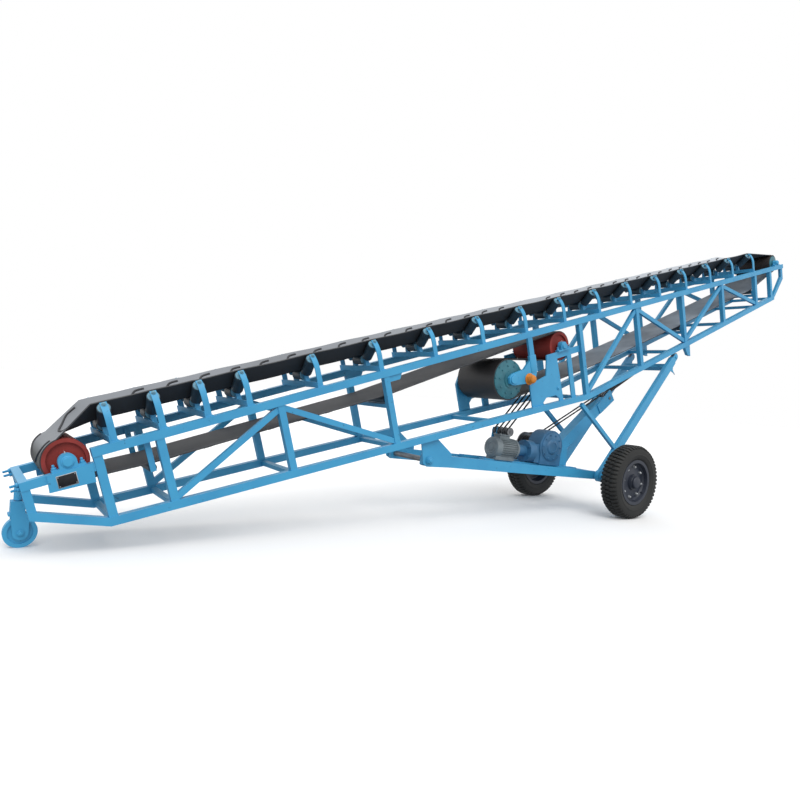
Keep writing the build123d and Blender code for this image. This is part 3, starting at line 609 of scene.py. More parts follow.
@dataclass
class Studio:
    """Floor, light and the camera at the photograph's angle."""

    line: TrussLine
    paints: Paints
    camera_mm: Trio = (-1178, -4681, 1210)
    yaw: float = math.radians(36.04)
    pitch: float = math.radians(0.94)
    roll: float = math.radians(-4.35)
    lens: float = 28
    sensor: float = 36
    floor_m: float = 160
    sky: str = "#FFFFFF"
    earth: str = "#9AA0A6"
    horizon: Pair = (-0.3, -0.05)
    sky_strength: float = 1
    sun_strength: float = 1.1
    sun_width: float = math.radians(40)
    sun_turn: Trio = (math.radians(42), 0, math.radians(-22))

    def build(self) -> None:
        """Sets the floor, the lights and the camera."""
        floor = add_primitive("plane", "floor", size=self.floor_m)
        self.paints.coat(floor, FLOOR)
        floor.visible_diffuse = False
        floor.visible_glossy = False
        self._light()
        self._camera()

    def _light(self) -> None:
        """Soft daylight from above the camera's left shoulder, with a bright sky."""
        scene = bpy.context.scene
        scene.view_settings.view_transform = "Standard"
        world = bpy.data.worlds.new("pale_sky")
        world.use_nodes = True
        tree = world.node_tree
        place = add_node(tree, "ShaderNodeTexCoord").outputs["Generated"]
        share = spread(tree, part_of(tree, place, "Z"), self.horizon)
        background = tree.nodes["Background"]
        tree.links.new(mixed(tree, share, self.earth, self.sky), background.inputs["Color"])
        background.inputs["Strength"].default_value = self.sky_strength
        scene.world = world
        sun = bpy.data.lights.new("day_light", "SUN")
        sun.energy = self.sun_strength
        sun.angle = self.sun_width
        lamp = bpy.data.objects.new("day_light", sun)
        lamp.rotation_euler = self.sun_turn
        scene.collection.objects.link(lamp)

    def _camera(self) -> None:
        """Puts the camera at the photograph's viewing angle."""
        turn = (Matrix.Rotation(-self.yaw, 4, "Z") @ Matrix.Rotation(math.pi / 2 - self.pitch, 4, "X")
                @ Matrix.Rotation(-self.roll, 4, "Z"))
        data = bpy.data.cameras.new("photo_camera")
        data.lens = self.lens
        data.sensor_width = self.sensor
        camera = bpy.data.objects.new("photo_camera", data)
        camera.matrix_world = Matrix.Translation(self.line.ground(*self.camera_mm)) @ turn
        bpy.context.scene.collection.objects.link(camera)
        bpy.context.scene.camera = camera


@dataclass(frozen=True)
class Drum:
    """A pulley of the belt: station, depth, radius, and which way the belt turns round it."""

    station: float
    depth: float
    radius: float
    turn: int


TAIL_PULLEY = Drum(-574, 13, 140, 1)
BEND_PULLEY = Drum(4199, 212, 150, -1)
DRIVE_DRUM = Drum(3388, 395, 200, 1)
HEAD_PULLEY = Drum(9183, -72, 115, 1)
DRUMS = (TAIL_PULLEY, BEND_PULLEY, DRIVE_DRUM, HEAD_PULLEY)
# Stations of the idlers, which stand close together at the tail and wide apart after that
CLOSE_PITCH = 320
WIDE_FIRST = 680
WIDE_PITCH = 600
IDLERS = (*(-280 + CLOSE_PITCH * n for n in range(3)), *(WIDE_FIRST + WIDE_PITCH * n for n in range(14)))


@dataclass(frozen=True)
class BeltMark:
    """A place on the belt's middle line: station, height above the chord, heading, depth of trough."""

    station: float
    height: float
    heading: float
    trough: float


@dataclass
class Belt(Trim):
    """The endless belt: a troughed carrying run, the wraps round the pulleys, and the return runs."""

    half_width: float = 265
    thickness: float = 8
    gap: float = 0.5
    bed_half: float = 70
    trough: float = math.radians(40)
    bed_height: float = 172.5
    settle: float = 50
    step: float = 60
    wrap_degrees: float = 7
    sag: float = 5
    carrying_mark: int = -40
    painted_shade_reach: float = 32
    cleat_pitch: float = 255
    cleat_station: float = 1207
    cleat_height: float = 9
    cleat_half: float = 9
    cleat_sunk: float = 0.5
    roller_room: float = 60
    drum_room: float = 250
    bends: tuple[Outline, ...] = (
        (), ((-80, 186), (1905, 197)), (), ((4871, 532), (6555, 408), (8495, 222)), ())

    def __post_init__(self) -> None:
        """Works out the belt's route, and how far along it each mark lies."""
        self.marks = self._route()
        self.travel = [0]
        for a, b in zip(self.marks, self.marks[1:]):
            self.travel.append(self.travel[-1] + math.dist((a.station, a.height), (b.station, b.height)))

    def _lay(self, drum: Drum) -> float:
        """The radius of the belt's middle line round a pulley, signed by its turn."""
        return drum.turn * (drum.radius + self.gap + self.thickness / 2)

    @staticmethod
    def _tangent(a: Trio, b: Trio) -> tuple[Pair, Pair, float]:
        """The straight run between two circles whose radii are signed by their turn."""
        dx, dy = b[0] - a[0], b[1] - a[1]
        heading = math.atan2(dy, dx) - math.asin((b[2] - a[2]) / math.hypot(dx, dy))
        nx, ny = -math.sin(heading), math.cos(heading)
        return (a[0] - a[2] * nx, a[1] - a[2] * ny), (b[0] - b[2] * nx, b[1] - b[2] * ny), heading

    def _route(self) -> list[BeltMark]:
        """Marks along the whole loop, from the first idler round the tail and back to it."""
        first, last = IDLERS[0] - self.settle, IDLERS[-1] + self.settle
        circles = [(drum.station, -drum.depth, self._lay(drum)) for drum in DRUMS]
        ends = [(first, self.bed_height, 0), *circles, (last, self.bed_height, 0)]
        runs = []
        for start, end, between in zip(ends, ends[1:], self.bends):
            stops = [start, *((station, -depth, 0) for station, depth in between), end]
            runs.append([self._tangent(a, b) for a, b in zip(stops, stops[1:])])
        marks = []
        for number, parts in enumerate(runs):
            for start, end, heading in parts:
                marks.extend(self._straight(start, end, heading, number, len(runs) - 1))
            if number + 1 < len(runs):
                marks.extend(self._wrap(DRUMS[number], parts[-1][2], runs[number + 1][0][2]))
        count = round((last - first) / self.step)
        for n in range(1, count):
            station = last + (first - last) * n / count
            marks.append(BeltMark(station, self.bed_height - self._droop(station), math.pi, 1))
        marks.append(marks[0])
        return marks

    def _straight(self, start: Pair, end: Pair, heading: float, number: int, last: int) -> list[BeltMark]:
        """Marks along one straight piece; the first and the last run go from trough to flat and back."""
        count = max(6, round(math.dist(start, end) / self.step))
        marks = []
        for n in range(count + 1):
            t = n / count
            depth = 1 - t if number == 0 else t if number == last else 0
            station, height = (a + t * (b - a) for a, b in zip(start, end))
            marks.append(BeltMark(station, height, heading, depth))
        return marks

    def _droop(self, station: float) -> float:
        """How far the loaded run hangs between two idlers."""
        if station > WIDE_FIRST - CLOSE_PITCH:
            return self.sag * math.sin(math.pi * (station - WIDE_FIRST) / WIDE_PITCH) ** 2
        return self.sag / 2 * math.sin(math.pi * (station - IDLERS[0]) / CLOSE_PITCH) ** 2

    def _wrap(self, drum: Drum, arrive: float, leave: float) -> list[BeltMark]:
        """Marks round a pulley, between two headings."""
        sweep = (leave - arrive) % math.tau if drum.turn > 0 else -((arrive - leave) % math.tau)
        count = max(4, round(abs(math.degrees(sweep)) / self.wrap_degrees))
        reach = self._lay(drum)
        marks = []
        for n in range(1, count):
            heading = arrive + sweep * n / count
            marks.append(BeltMark(drum.station + reach * math.sin(heading),
                                  -drum.depth - reach * math.cos(heading), heading, 0))
        return marks

    def mark_at(self, travel: float) -> BeltMark:
        """The belt's place at a distance along the loop, between the two marks about it."""
        travel %= self.travel[-1]
        after = bisect_right(self.travel, travel)
        a, b = self.marks[after - 1], self.marks[after]
        share = (travel - self.travel[after - 1]) / (self.travel[after] - self.travel[after - 1])
        turn = (b.heading - a.heading + math.pi) % math.tau - math.pi
        return BeltMark(a.station + share * (b.station - a.station), a.height + share * (b.height - a.height),
                        a.heading + share * turn, a.trough + share * (b.trough - a.trough))

    def point(self, mark: BeltMark, across: float, lift: float = 0) -> Vector:
        """A point on the belt.

        Args:
            mark: the place along the loop.
            across: distance from the belt's middle, towards -Y if negative.
            lift: height above the middle of the belt's thickness, on the carrying side.

        Returns:
            The point in metres.
        """
        wing = max(abs(across) - self.bed_half, 0)
        lean = self.trough if wing > 0 else 0
        deep_y = math.copysign(
            min(abs(across), self.bed_half) + wing * math.cos(lean) - lift * math.sin(lean), across)
        deep_rise = wing * math.sin(lean) + lift * math.cos(lean)
        y = across + mark.trough * (deep_y - across)
        rise = lift + mark.trough * (deep_rise - lift)
        nx, ny = math.sin(mark.heading), -math.cos(mark.heading)
        return self.line.at(mark.station + rise * nx, -(mark.height + rise * ny), y)

    def build(self) -> None:
        """Models the belt and its cleats."""
        self._band()
        self._cleats()

    def _band(self) -> None:
        """The band itself, as a grid laid along the route and given its thickness."""
        half = (22, 54, self.bed_half, 86, 120, 170, 225, self.half_width)
        columns = (*(-across for across in reversed(half)), *half)
        band, cells = add_sheet("conveyor_belt", len(columns), len(self.marks))
        for vertex, (column, row) in zip(band.data.vertices, cells):
            vertex.co = self.point(self.marks[row], columns[column])
        with editing(band, "VERT"):
            weld()
        carrying = self.marks[self.carrying_mark]
        here = self.point(carrying, 0)
        outward = self.point(carrying, 0, self.thickness) - here
        nearest = min(band.data.polygons, key=lambda face: (face.center - here).length)
        if nearest.normal.dot(outward) < 0:
            with editing(band):
                bpy.ops.mesh.flip_normals()
        # The third finish goes on the faces round the drive drum: painted shade where the belt wraps the drum
        self.paints.coat(band, BELT_COVER, BELT_CARCASS, DRUM_WRAP_SHADE, BELT_CARCASS)
        axis = self.line.at(DRIVE_DRUM.station, DRIVE_DRUM.depth)
        for face in band.data.polygons:
            away = math.hypot(face.center.x - axis.x, face.center.z - axis.z)
            face.material_index = 2 if away < (DRIVE_DRUM.radius + self.painted_shade_reach) * MM else 0
        modify(band, "SOLIDIFY", thickness=self.thickness * MM, offset=0, material_offset=1,
               material_offset_rim=1)
        smooth(band, 50)
        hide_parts("belt_bed", "belt_wings", "belt_transitions", "belt_return_runs", "belt_wraps")
        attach(band, TRUSS)

    def _cleats(self) -> None:
        """Low ribs across the carrying side, whose ends turn to run along the belt's edges."""
        arm = ((8, 40), (4, self.bed_half), (-8, 100), (-34, 150), (-58, 190),
               (-78, 216), (-92, 225), (-120, 229), (-156, 230))
        spine = self._rounded((*((forth, -across) for forth, across in reversed(arm)), (12, 0), *arm))
        profile = ((-1, 0), (-0.55, 1), (0.55, 1), (1, 0), (-1, 0))
        model, cells = add_sheet("cleat", len(spine), len(profile))
        made = []
        for travel in self._cleat_places(spine):
            made.append(duplicate(model))
            for vertex, (column, row) in zip(made[-1].data.vertices, cells):
                forth, across = self._beside(spine, column, profile[row][0] * self.cleat_half)
                lift = self.thickness / 2 - self.cleat_sunk + profile[row][1] * self.cleat_height
                vertex.co = self.point(self.mark_at(travel + forth), across, lift)
        bpy.data.objects.remove(model)
        ribs = joined("belt_cleats", made)
        with editing(ribs, "VERT"):
            weld()
            bpy.ops.mesh.region_to_loop()
            bpy.ops.mesh.fill_holes(sides=4)
            face_outward()
        self.dress(ribs, RIB_RUBBER)

    @staticmethod
    def _rounded(path: Outline, keep: float = 0.75) -> Outline:
        """Cuts every corner of a line once, so that it bends gently."""
        cut = [path[0]]
        for near, far in zip(path, path[1:]):
            for share in (keep, 1 - keep):
                cut.append(tuple(a * share + b * (1 - share) for a, b in zip(near, far)))
        return (*cut, path[-1])

    @staticmethod
    def _beside(spine: Outline, number: int, offset: float) -> Pair:
        """A point beside a rib's middle line, square to it."""
        before, after = spine[max(number - 1, 0)], spine[min(number + 1, len(spine) - 1)]
        run = math.dist(before, after)
        forth, across = spine[number]
        return forth + offset * (after[1] - before[1]) / run, across - offset * (after[0] - before[0]) / run

    def _cleat_places(self, spine: Outline) -> list[float]:
        """Even distances along the loop at which nothing presses on a rib with the given middle line."""
        loop = self.travel[-1]
        first = (loop + IDLERS[0] - self.settle - self.cleat_station) % self.cleat_pitch
        places = [first + n * self.cleat_pitch for n in range(int((loop - first) / self.cleat_pitch))]
        return [place for place in places
                if not any(self._pressed(self.mark_at(place + forth)) for forth, _ in spine)]

    def _pressed(self, mark: BeltMark) -> bool:
        """Whether a return roller, the bend pulley or the drive drum is too near for a rib."""
        rooms = [(*roller, self.roller_room) for run in self.bends for roller in run]
        for drum, room in ((BEND_PULLEY, self.drum_room), (DRIVE_DRUM, self.roller_room)):
            rooms.append((drum.station, drum.depth, drum.radius + room))
        return any(math.dist((mark.station, -mark.height), room[:2]) < room[2] for room in rooms)


@dataclass(frozen=True)
class ArmLine:
    """The arm's own coordinates in millimetres: reach from its pivot to the axle, and height above that."""

    pivot: Vector
    ahead: Vector

    @classmethod
    def from_frame(cls) -> "ArmLine":
        """Finds the arm's line from the middles of the pivot shaft and the axle."""
        pivot = middle("pivot_shaft")
        return cls(pivot, (middle("axle") - pivot).normalized())

    @property
    def up(self) -> Vector:
        """The direction square to the arm."""
        return Vector((-self.ahead.z, 0, self.ahead.x))

    def at(self, reach: float, above: float, y: float = 0) -> Vector:
        """The point at a reach and height, in metres."""
        return self.pivot + (self.ahead * reach + self.up * above + ASIDE * y) * MM


@dataclass
class Ropes(Trim):
    """Taut wire ropes of the winch: lifting falls to the truss, and the lines over the sheave beam."""

    radius: float = 9
    groove: float = 40
    half_turn: float = math.radians(190)
    falls_at: tuple[float, ...] = (75, 12, -52, -115)
    hauls_at: tuple[float, ...] = (70, 8)
    legs_at: tuple[float, ...] = (-46, -16, 14)
    low_axis: Trio = (3590, 0, 856)
    high_axis: Pair = (4060, 640)
    pin_half: float = 135
    rod_half: float = 290
    drum_lay: float = 74
    head_lay: float = 52
    beam_lay: float = 30
    cheeks_at: Pair = (104, 44)
    cheek_foot: float = 62
    cheek_past: float = 34
    cheek_taper: float = 0.5
    lug_y: float = 284
    lug_behind: float = 30
    coil_core: Pair = (70, 84)
    coil_from: float = 6
    coil_turns: int = 9

    def build(self) -> None:
        """Models the ropes, and the sheaves that the frame lacks."""
        low, high = self.line.ground(*self.low_axis), self.line.at(*self.high_axis)
        start, end = self._tangent(low, self.groove, high, self.groove)
        self._lines("lifting_falls", start, end, self.falls_at, TRUSS)
        self._bends(low, start)
        self._sheaves("lower_sheaves", low, self.pin_half, ARMS)
        self._sheaves("upper_sheaves", high, self.rod_half, TRUSS)
        self._stand(low)
        self._hangers()
        drum, head, beam = (middle(node) for node in ("rope_drum", "head_sheaves", "leg_cross_beams"))
        drum.y = head.y = 0
        haul = self._tangent(drum, self.drum_lay, head, self.head_lay)
        self._lines("hauling_lines", *haul, self.hauls_at, ARMS)
        pull = self._tangent(head, self.head_lay, beam, self.beam_lay)
        self._lines("leg_lines", *pull, self.legs_at, "leg_frame")
        self._coil(drum)

    @staticmethod
    def _tangent(a: Vector, a_radius: float, b: Vector, b_radius: float) -> tuple[Vector, Vector]:
        """Where a straight rope leaves one sheave and meets the next, on their upper sides."""
        span = b - a
        lean = math.asin((a_radius - b_radius) * MM / span.length)
        way = span.normalized()
        square = Vector((-way.z, 0, way.x)) * math.cos(lean) + way * math.sin(lean)
        return a + square * a_radius * MM, b + square * b_radius * MM

    def _lines(self, name: str, start: Vector, end: Vector, places: Sequence[float], body: str) -> None:
        """Parallel ropes from the arms to a body; as only their ends have rings, no pose bends them.

        Args:
            name: the new object's name.
            start: where the ropes leave the arms, in metres.
            end: where they meet the body.
            places: how far aside each rope lies, in millimetres.
            body: the body that holds their far ends.
        """
        span = (end - start).length / MM
        outline = ((0, 0), (self.radius, 0), (self.radius, span), (0, span))
        turn = along(start, end - start)
        ropes = copied(name, lathe(name, outline, steps=10),
                       [Matrix.Translation(ASIDE * y * MM) @ turn for y in places])
        self.dress(ropes, ROPE, ARMS if body == ARMS else "")
        if body != ARMS:
            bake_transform(ropes)

    def _bends(self, axis: Vector, start: Vector) -> None:
        """The ropes' turns round the lower sheaves, as half rings that carry on each fall."""
        model = add_primitive("torus", "fall_bend", major_segments=40, minor_segments=10,
                              major_radius=self.groove * MM, minor_radius=self.radius * MM)
        first = math.atan2((start - axis).z, (start - axis).x)
        pick_faces(model, lambda at: (math.atan2(at.y, at.x) - first) % math.tau >= self.half_turn)
        with editing(model, whole=False):
            bpy.ops.mesh.delete(type="FACE")
            bpy.ops.mesh.select_all(action="SELECT")
            bpy.ops.mesh.region_to_loop()
            bpy.ops.mesh.fill_holes(sides=0)
        upright = Matrix.Rotation(math.radians(90), 4, "X")
        places = [Matrix.Translation(axis + ASIDE * y * MM) @ upright for y in self.falls_at]
        self.repeat("fall_bends", model, places, ROPE, ARMS)

    def _sheaves(self, name: str, axis: Vector, reach: float, body: str) -> None:
        """Narrow grooved sheaves on one pin of a given half length, one for each fall."""
        rim, floor = self.groove + 6, self.groove - 10
        half = ((floor, 4), (rim, 9), (rim, 12), (rim - 6, 13), (13, 13))
        model = lathe(name, (*((radius, -y) for radius, y in reversed(half)), *half), way=ASIDE)
        sheaves = copied(name, model, [Matrix.Translation(axis + ASIDE * y * MM) for y in self.falls_at])
        rod = ((0, -reach), (14, -reach), (14, reach), (0, reach))
        self.dress(joined(name, [sheaves, lathe(name, rod, axis, ASIDE, 20)]), TURNED_STEEL, body)

    def _stand(self, axis: Vector) -> None:
        """Two tapered cheeks that hold the lower sheaves' pin above the winch rails."""
        arm = ArmLine.from_frame()
        reach, top = ((axis - arm.pivot).dot(way) / MM for way in (arm.ahead, arm.up))
        foot, crown = self.cheek_foot, top + self.cheek_past
        cheeks = []
        for y in self.cheeks_at:
            place = facing(arm.at(reach, (foot + crown) / 2, y), arm.ahead, arm.up)
            cheeks.append(block("sheave_cheek", (120, crown - foot, 10), 4, place))
            for vertex in cheeks[-1].data.vertices:
                offset = vertex.co - arm.at(reach, foot)
                rise = max(offset.dot(arm.up) / (top * MM), 0)
                vertex.co -= arm.ahead * offset.dot(arm.ahead) * self.cheek_taper * rise
        self.dress(joined("sheave_stand", cheeks), body=ARMS)

    def _hangers(self) -> None:
        """Lug plates at both ends of the upper sheaves' rod, and its end nuts."""
        station, depth = self.high_axis
        lugs, nuts = [], []
        for side in SIDES:
            centre = self.line.at(station - self.lug_behind, depth, side * self.lug_y)
            place = facing(centre, self.line.ahead, self.line.up)
            lugs.append(block("rod_lug", (150, 90, 10), 4, place))
            nuts.append(along(self.line.at(station, depth, side * self.rod_half), ASIDE * side))
        self.dress(joined("rod_lugs", lugs))
        self.repeat("rod_nuts", hex_bolt(24, 14, 8), nuts)

    def _coil(self, axis: Vector) -> None:
        """Turns of rope side by side on the winch drum."""
        core, centre = self.coil_core
        outline = [(core, self.coil_from)]
        for n in range(self.coil_turns):
            base = self.coil_from + n * self.radius * 2
            for part in range(5):
                angle = math.pi * part / 4
                rise = self.radius * (1 - math.cos(angle))
                outline.append((centre + self.radius * math.sin(angle), base + rise))
        outline.append((core, self.coil_from + self.coil_turns * self.radius * 2))
        self.dress(lathe("rope_coil", outline, axis, ASIDE, 48), ROPE, ARMS)


@dataclass
class Idlers(Trim):
    """Seals, nuts and foot bolts of the trough rollers."""

    wing_y: float = 116.6
    wing_depth: float = -148.3
    wing_angle: float = math.radians(40)
    wing_length: float = 165
    bracket_face: float = 206
    centre_half: float = 64
    centre_depth: float = -124
    foot_ahead: float = 4
    foot_depth: float = -38
    foot_y: float = 296
    seal: Outline = ((9.5, 0), (40, 0), (40, 3), (37, 6), (24, 6), (22, 9), (9.5, 9))

    def _wing(self, station: float, side: float, reach: float) -> Vector:
        """A point on the axis of a wing roller."""
        y = side * (self.wing_y + reach * math.cos(self.wing_angle))
        return self.line.at(station, self.wing_depth - reach * math.sin(self.wing_angle), y)

    def build(self) -> None:
        """Models each fitting once and copies it along the truss."""
        seals, nuts, feet = [], [], []
        for station in IDLERS:
            for side in SIDES:
                inner, outer = (self._wing(station, side, reach) for reach in (0, self.wing_length))
                way = (outer - inner).normalized()
                end = self.line.at(station, self.centre_depth, side * self.centre_half)
                seals.extend((along(outer, way), along(inner, -way), along(end, ASIDE * side)))
                nuts.append(along(self._wing(station, side, self.bracket_face), way))
                foot = self.line.at(station + self.foot_ahead, self.foot_depth, side * self.foot_y)
                feet.append(along(foot, self.line.up))
        self.repeat("roller_seals", lathe("roller_seal", self.seal, steps=20), seals, SEAL_NYLON)
        self.repeat("roller_nuts", hex_bolt(14, 9, 6), nuts, SEAL_NYLON)
        self.repeat("beam_bolts", hex_bolt(12, 8, 7), feet, ZINC)


@dataclass(frozen=True)
class Bearing:
    """A pillow block: its pulley, its studs, its shaft and its housing."""

    drum: Drum
    stud_half: float
    foot_depth: float
    shaft: float
    housing: float


@dataclass
class Bearings(Trim):
    """Studs, end caps and grease nipples of the pillow blocks, and the head pulley's end discs."""

    blocks: tuple[Bearing, ...] = (Bearing(TAIL_PULLEY, 82, 46, 22, 54),
                                   Bearing(BEND_PULLEY, 76, 246, 22, 46),
                                   Bearing(HEAD_PULLEY, 60, -46, 20, 38))
    middle_y: float = 309
    face_y: float = 334
    disc_y: float = 268
    shaft_reach: float = 11
    drum_shaft: float = 34
    drum_flange: float = 56
    drum_reach: float = 18
    drum_face_y: float = 332
    hole_gap: float = 0.4
    spout: Outline = ((0, 0), (6, 0), (6, 5), (3.5, 7), (4.5, 10), (2, 14), (0, 14))

    def _cap(self, shaft: float, flange: float, reach: float, face: Vector, side: float) -> Piece:
        """A closed cap over a shaft that reaches out of a bearing's face, on a flange against that face."""
        hole, wall = shaft + self.hole_gap, shaft + 8
        outline = ((0, reach + 0.3), (hole, reach + 0.3), (hole, -1), (flange, -1), (flange, 4),
                   (flange - 4, 7), (wall, 7), (wall, reach + 1), (wall - 3, reach + 4),
                   (0, reach + 5))
        return lathe("bearing_cap", outline, face, ASIDE * side)

    def build(self) -> None:
        """Models the fittings of every block."""
        studs, nipples, caps, discs = [], [], [], []
        for one in self.blocks:
            station, depth = one.drum.station, one.drum.depth
            flange = max(one.housing * 0.72, one.shaft + 14)
            for side in SIDES:
                for step in (-one.stud_half, one.stud_half):
                    foot = self.line.at(station + step, one.foot_depth, side * self.middle_y)
                    studs.append(along(foot, self.line.up))
                crown = self.line.at(station, depth - one.housing + 1, side * self.middle_y)
                nipples.append(along(crown, self.line.up))
                face = self.line.at(station, depth, side * self.face_y)
                caps.append(self._cap(one.shaft, flange, self.shaft_reach, face, side))
        self.repeat("bearing_studs", hex_bolt(16, 13, 18), studs)
        self.repeat("grease_nipples", lathe("grease_nipple", self.spout, steps=12), nipples, ZINC)
        hole = self.blocks[-1].shaft + self.hole_gap
        disc = ((hole, -1), (104, -1), (104, 6), (96, 10), (60, 7), (40, 10), (hole, 10))
        for side in SIDES:
            face = self.line.at(DRIVE_DRUM.station, DRIVE_DRUM.depth, side * self.drum_face_y)
            caps.append(self._cap(self.drum_shaft, self.drum_flange, self.drum_reach, face, side))
            face = self.line.at(HEAD_PULLEY.station, HEAD_PULLEY.depth, side * self.disc_y)
            discs.append(lathe("head_disc", disc, face, ASIDE * side))
        self.dress(joined("bearing_caps", caps))
        self.dress(joined("head_discs", discs), CASTING_ENAMEL)


@dataclass
class Tail(Trim):
    """The blank name plate, the take-up studs and the caster's axle nuts."""

    plate_at: Trio = (-603, 122, -345)
    plate_size: Pair = (118, 80)
    plate_edge: float = 8
    rivet_inset: float = 11
    rivet_height: float = 2.4
    stud_station: float = -857
    stud_depths: Pair = (76, 104)
    stud_y: float = 300

    def build(self) -> None:
        """Models the tail's fittings."""
        self._plate()
        studs = [along(self.line.at(self.stud_station, depth, side * self.stud_y), -self.line.ahead)
                 for side in SIDES for depth in self.stud_depths]
        self.repeat("take_up_studs", hex_bolt(15, 14, 34), studs)
        ends = outer_ends(middle("caster_wheel"), "caster_fork", 1)
        self.repeat("caster_nuts", hex_bolt(19, 12, 5), [along(*end) for end in ends], body="caster")

    def _plate(self) -> None:
        """A black plate with a pale edge and four rivets, and nothing written on it."""
        wide, high = self.plate_size
        place = facing(self.line.at(*self.plate_at), self.line.ahead, self.line.up)
        self.dress(block("plate_edge", (wide, high, 3), 0.8, place), ZINC)
        field = block("name_plate", (wide - self.plate_edge, high - self.plate_edge, 5), 0.8, place)
        self.dress(field, PLATE_ANODISED)
        dome = lathe("plate_rivet", ((0, 0), (3.6, 0), (3, 1.6), (0, self.rivet_height)), steps=12)
        x_half, y_half = (edge / 2 - self.rivet_inset for edge in self.plate_size)
        corners = [Vector((x * x_half, y * y_half, self.rivet_height)) for x in SIDES for y in SIDES]
        places = [place @ Matrix.Translation(corner * MM) for corner in corners]
        self.repeat("plate_rivets", dome, places, ZINC)


@dataclass
class Drive(Trim):
    """Bolts of the drive drum's covers, the hanger's sleeve and the cable gland's cap."""

    rings: Outline = ((140, 284.5), (184, 273.5))
    per_ring: int = 10
    sleeve_at: Trio = (3702, 300, -320)
    sleeve_size: Trio = (92, 176, 36)
    gland_at: Pair = (3612, 440)
    gland_tip: float = -391
    gland_waist: float = -368
    gland_foot: float = -333
    cap: Outline = ((0, 0), (38, 0), (36, 7), (27, 13), (12, 16), (0, 17))
    waist: Outline = ((39.5, 0), (45, 2), (45, 10), (39.5, 12))

    def build(self) -> None:
        """Models the drive's fittings."""
        bolts = []
        for radius, y in self.rings:
            for side in SIDES:
                for angle in around(self.per_ring):
                    head = self.line.at(DRIVE_DRUM.station + radius * math.cos(angle),
                                        DRIVE_DRUM.depth + radius * math.sin(angle), side * y)
                    bolts.append(along(head, ASIDE * side))
        self.repeat("cover_bolts", hex_bolt(9.5, 7), bolts, CASTING_ENAMEL)
        place = facing(self.line.at(*self.sleeve_at), self.line.ahead, self.line.up)
        self.dress(block("hanger_sleeve", self.sleeve_size, 6, place))
        tip, waist, foot = (self.line.at(*self.gland_at, y)
                            for y in (self.gland_tip, self.gland_waist, self.gland_foot))
        parts = [lathe("gland_cap", self.cap, tip, -ASIDE),
                 copied("gland_collar", hex_bolt(50, 16), [along(foot, -ASIDE)]),
                 lathe("gland_waist", self.waist, waist, -ASIDE)]
        self.dress(joined("cable_gland", parts), GLAND_ENAMEL)


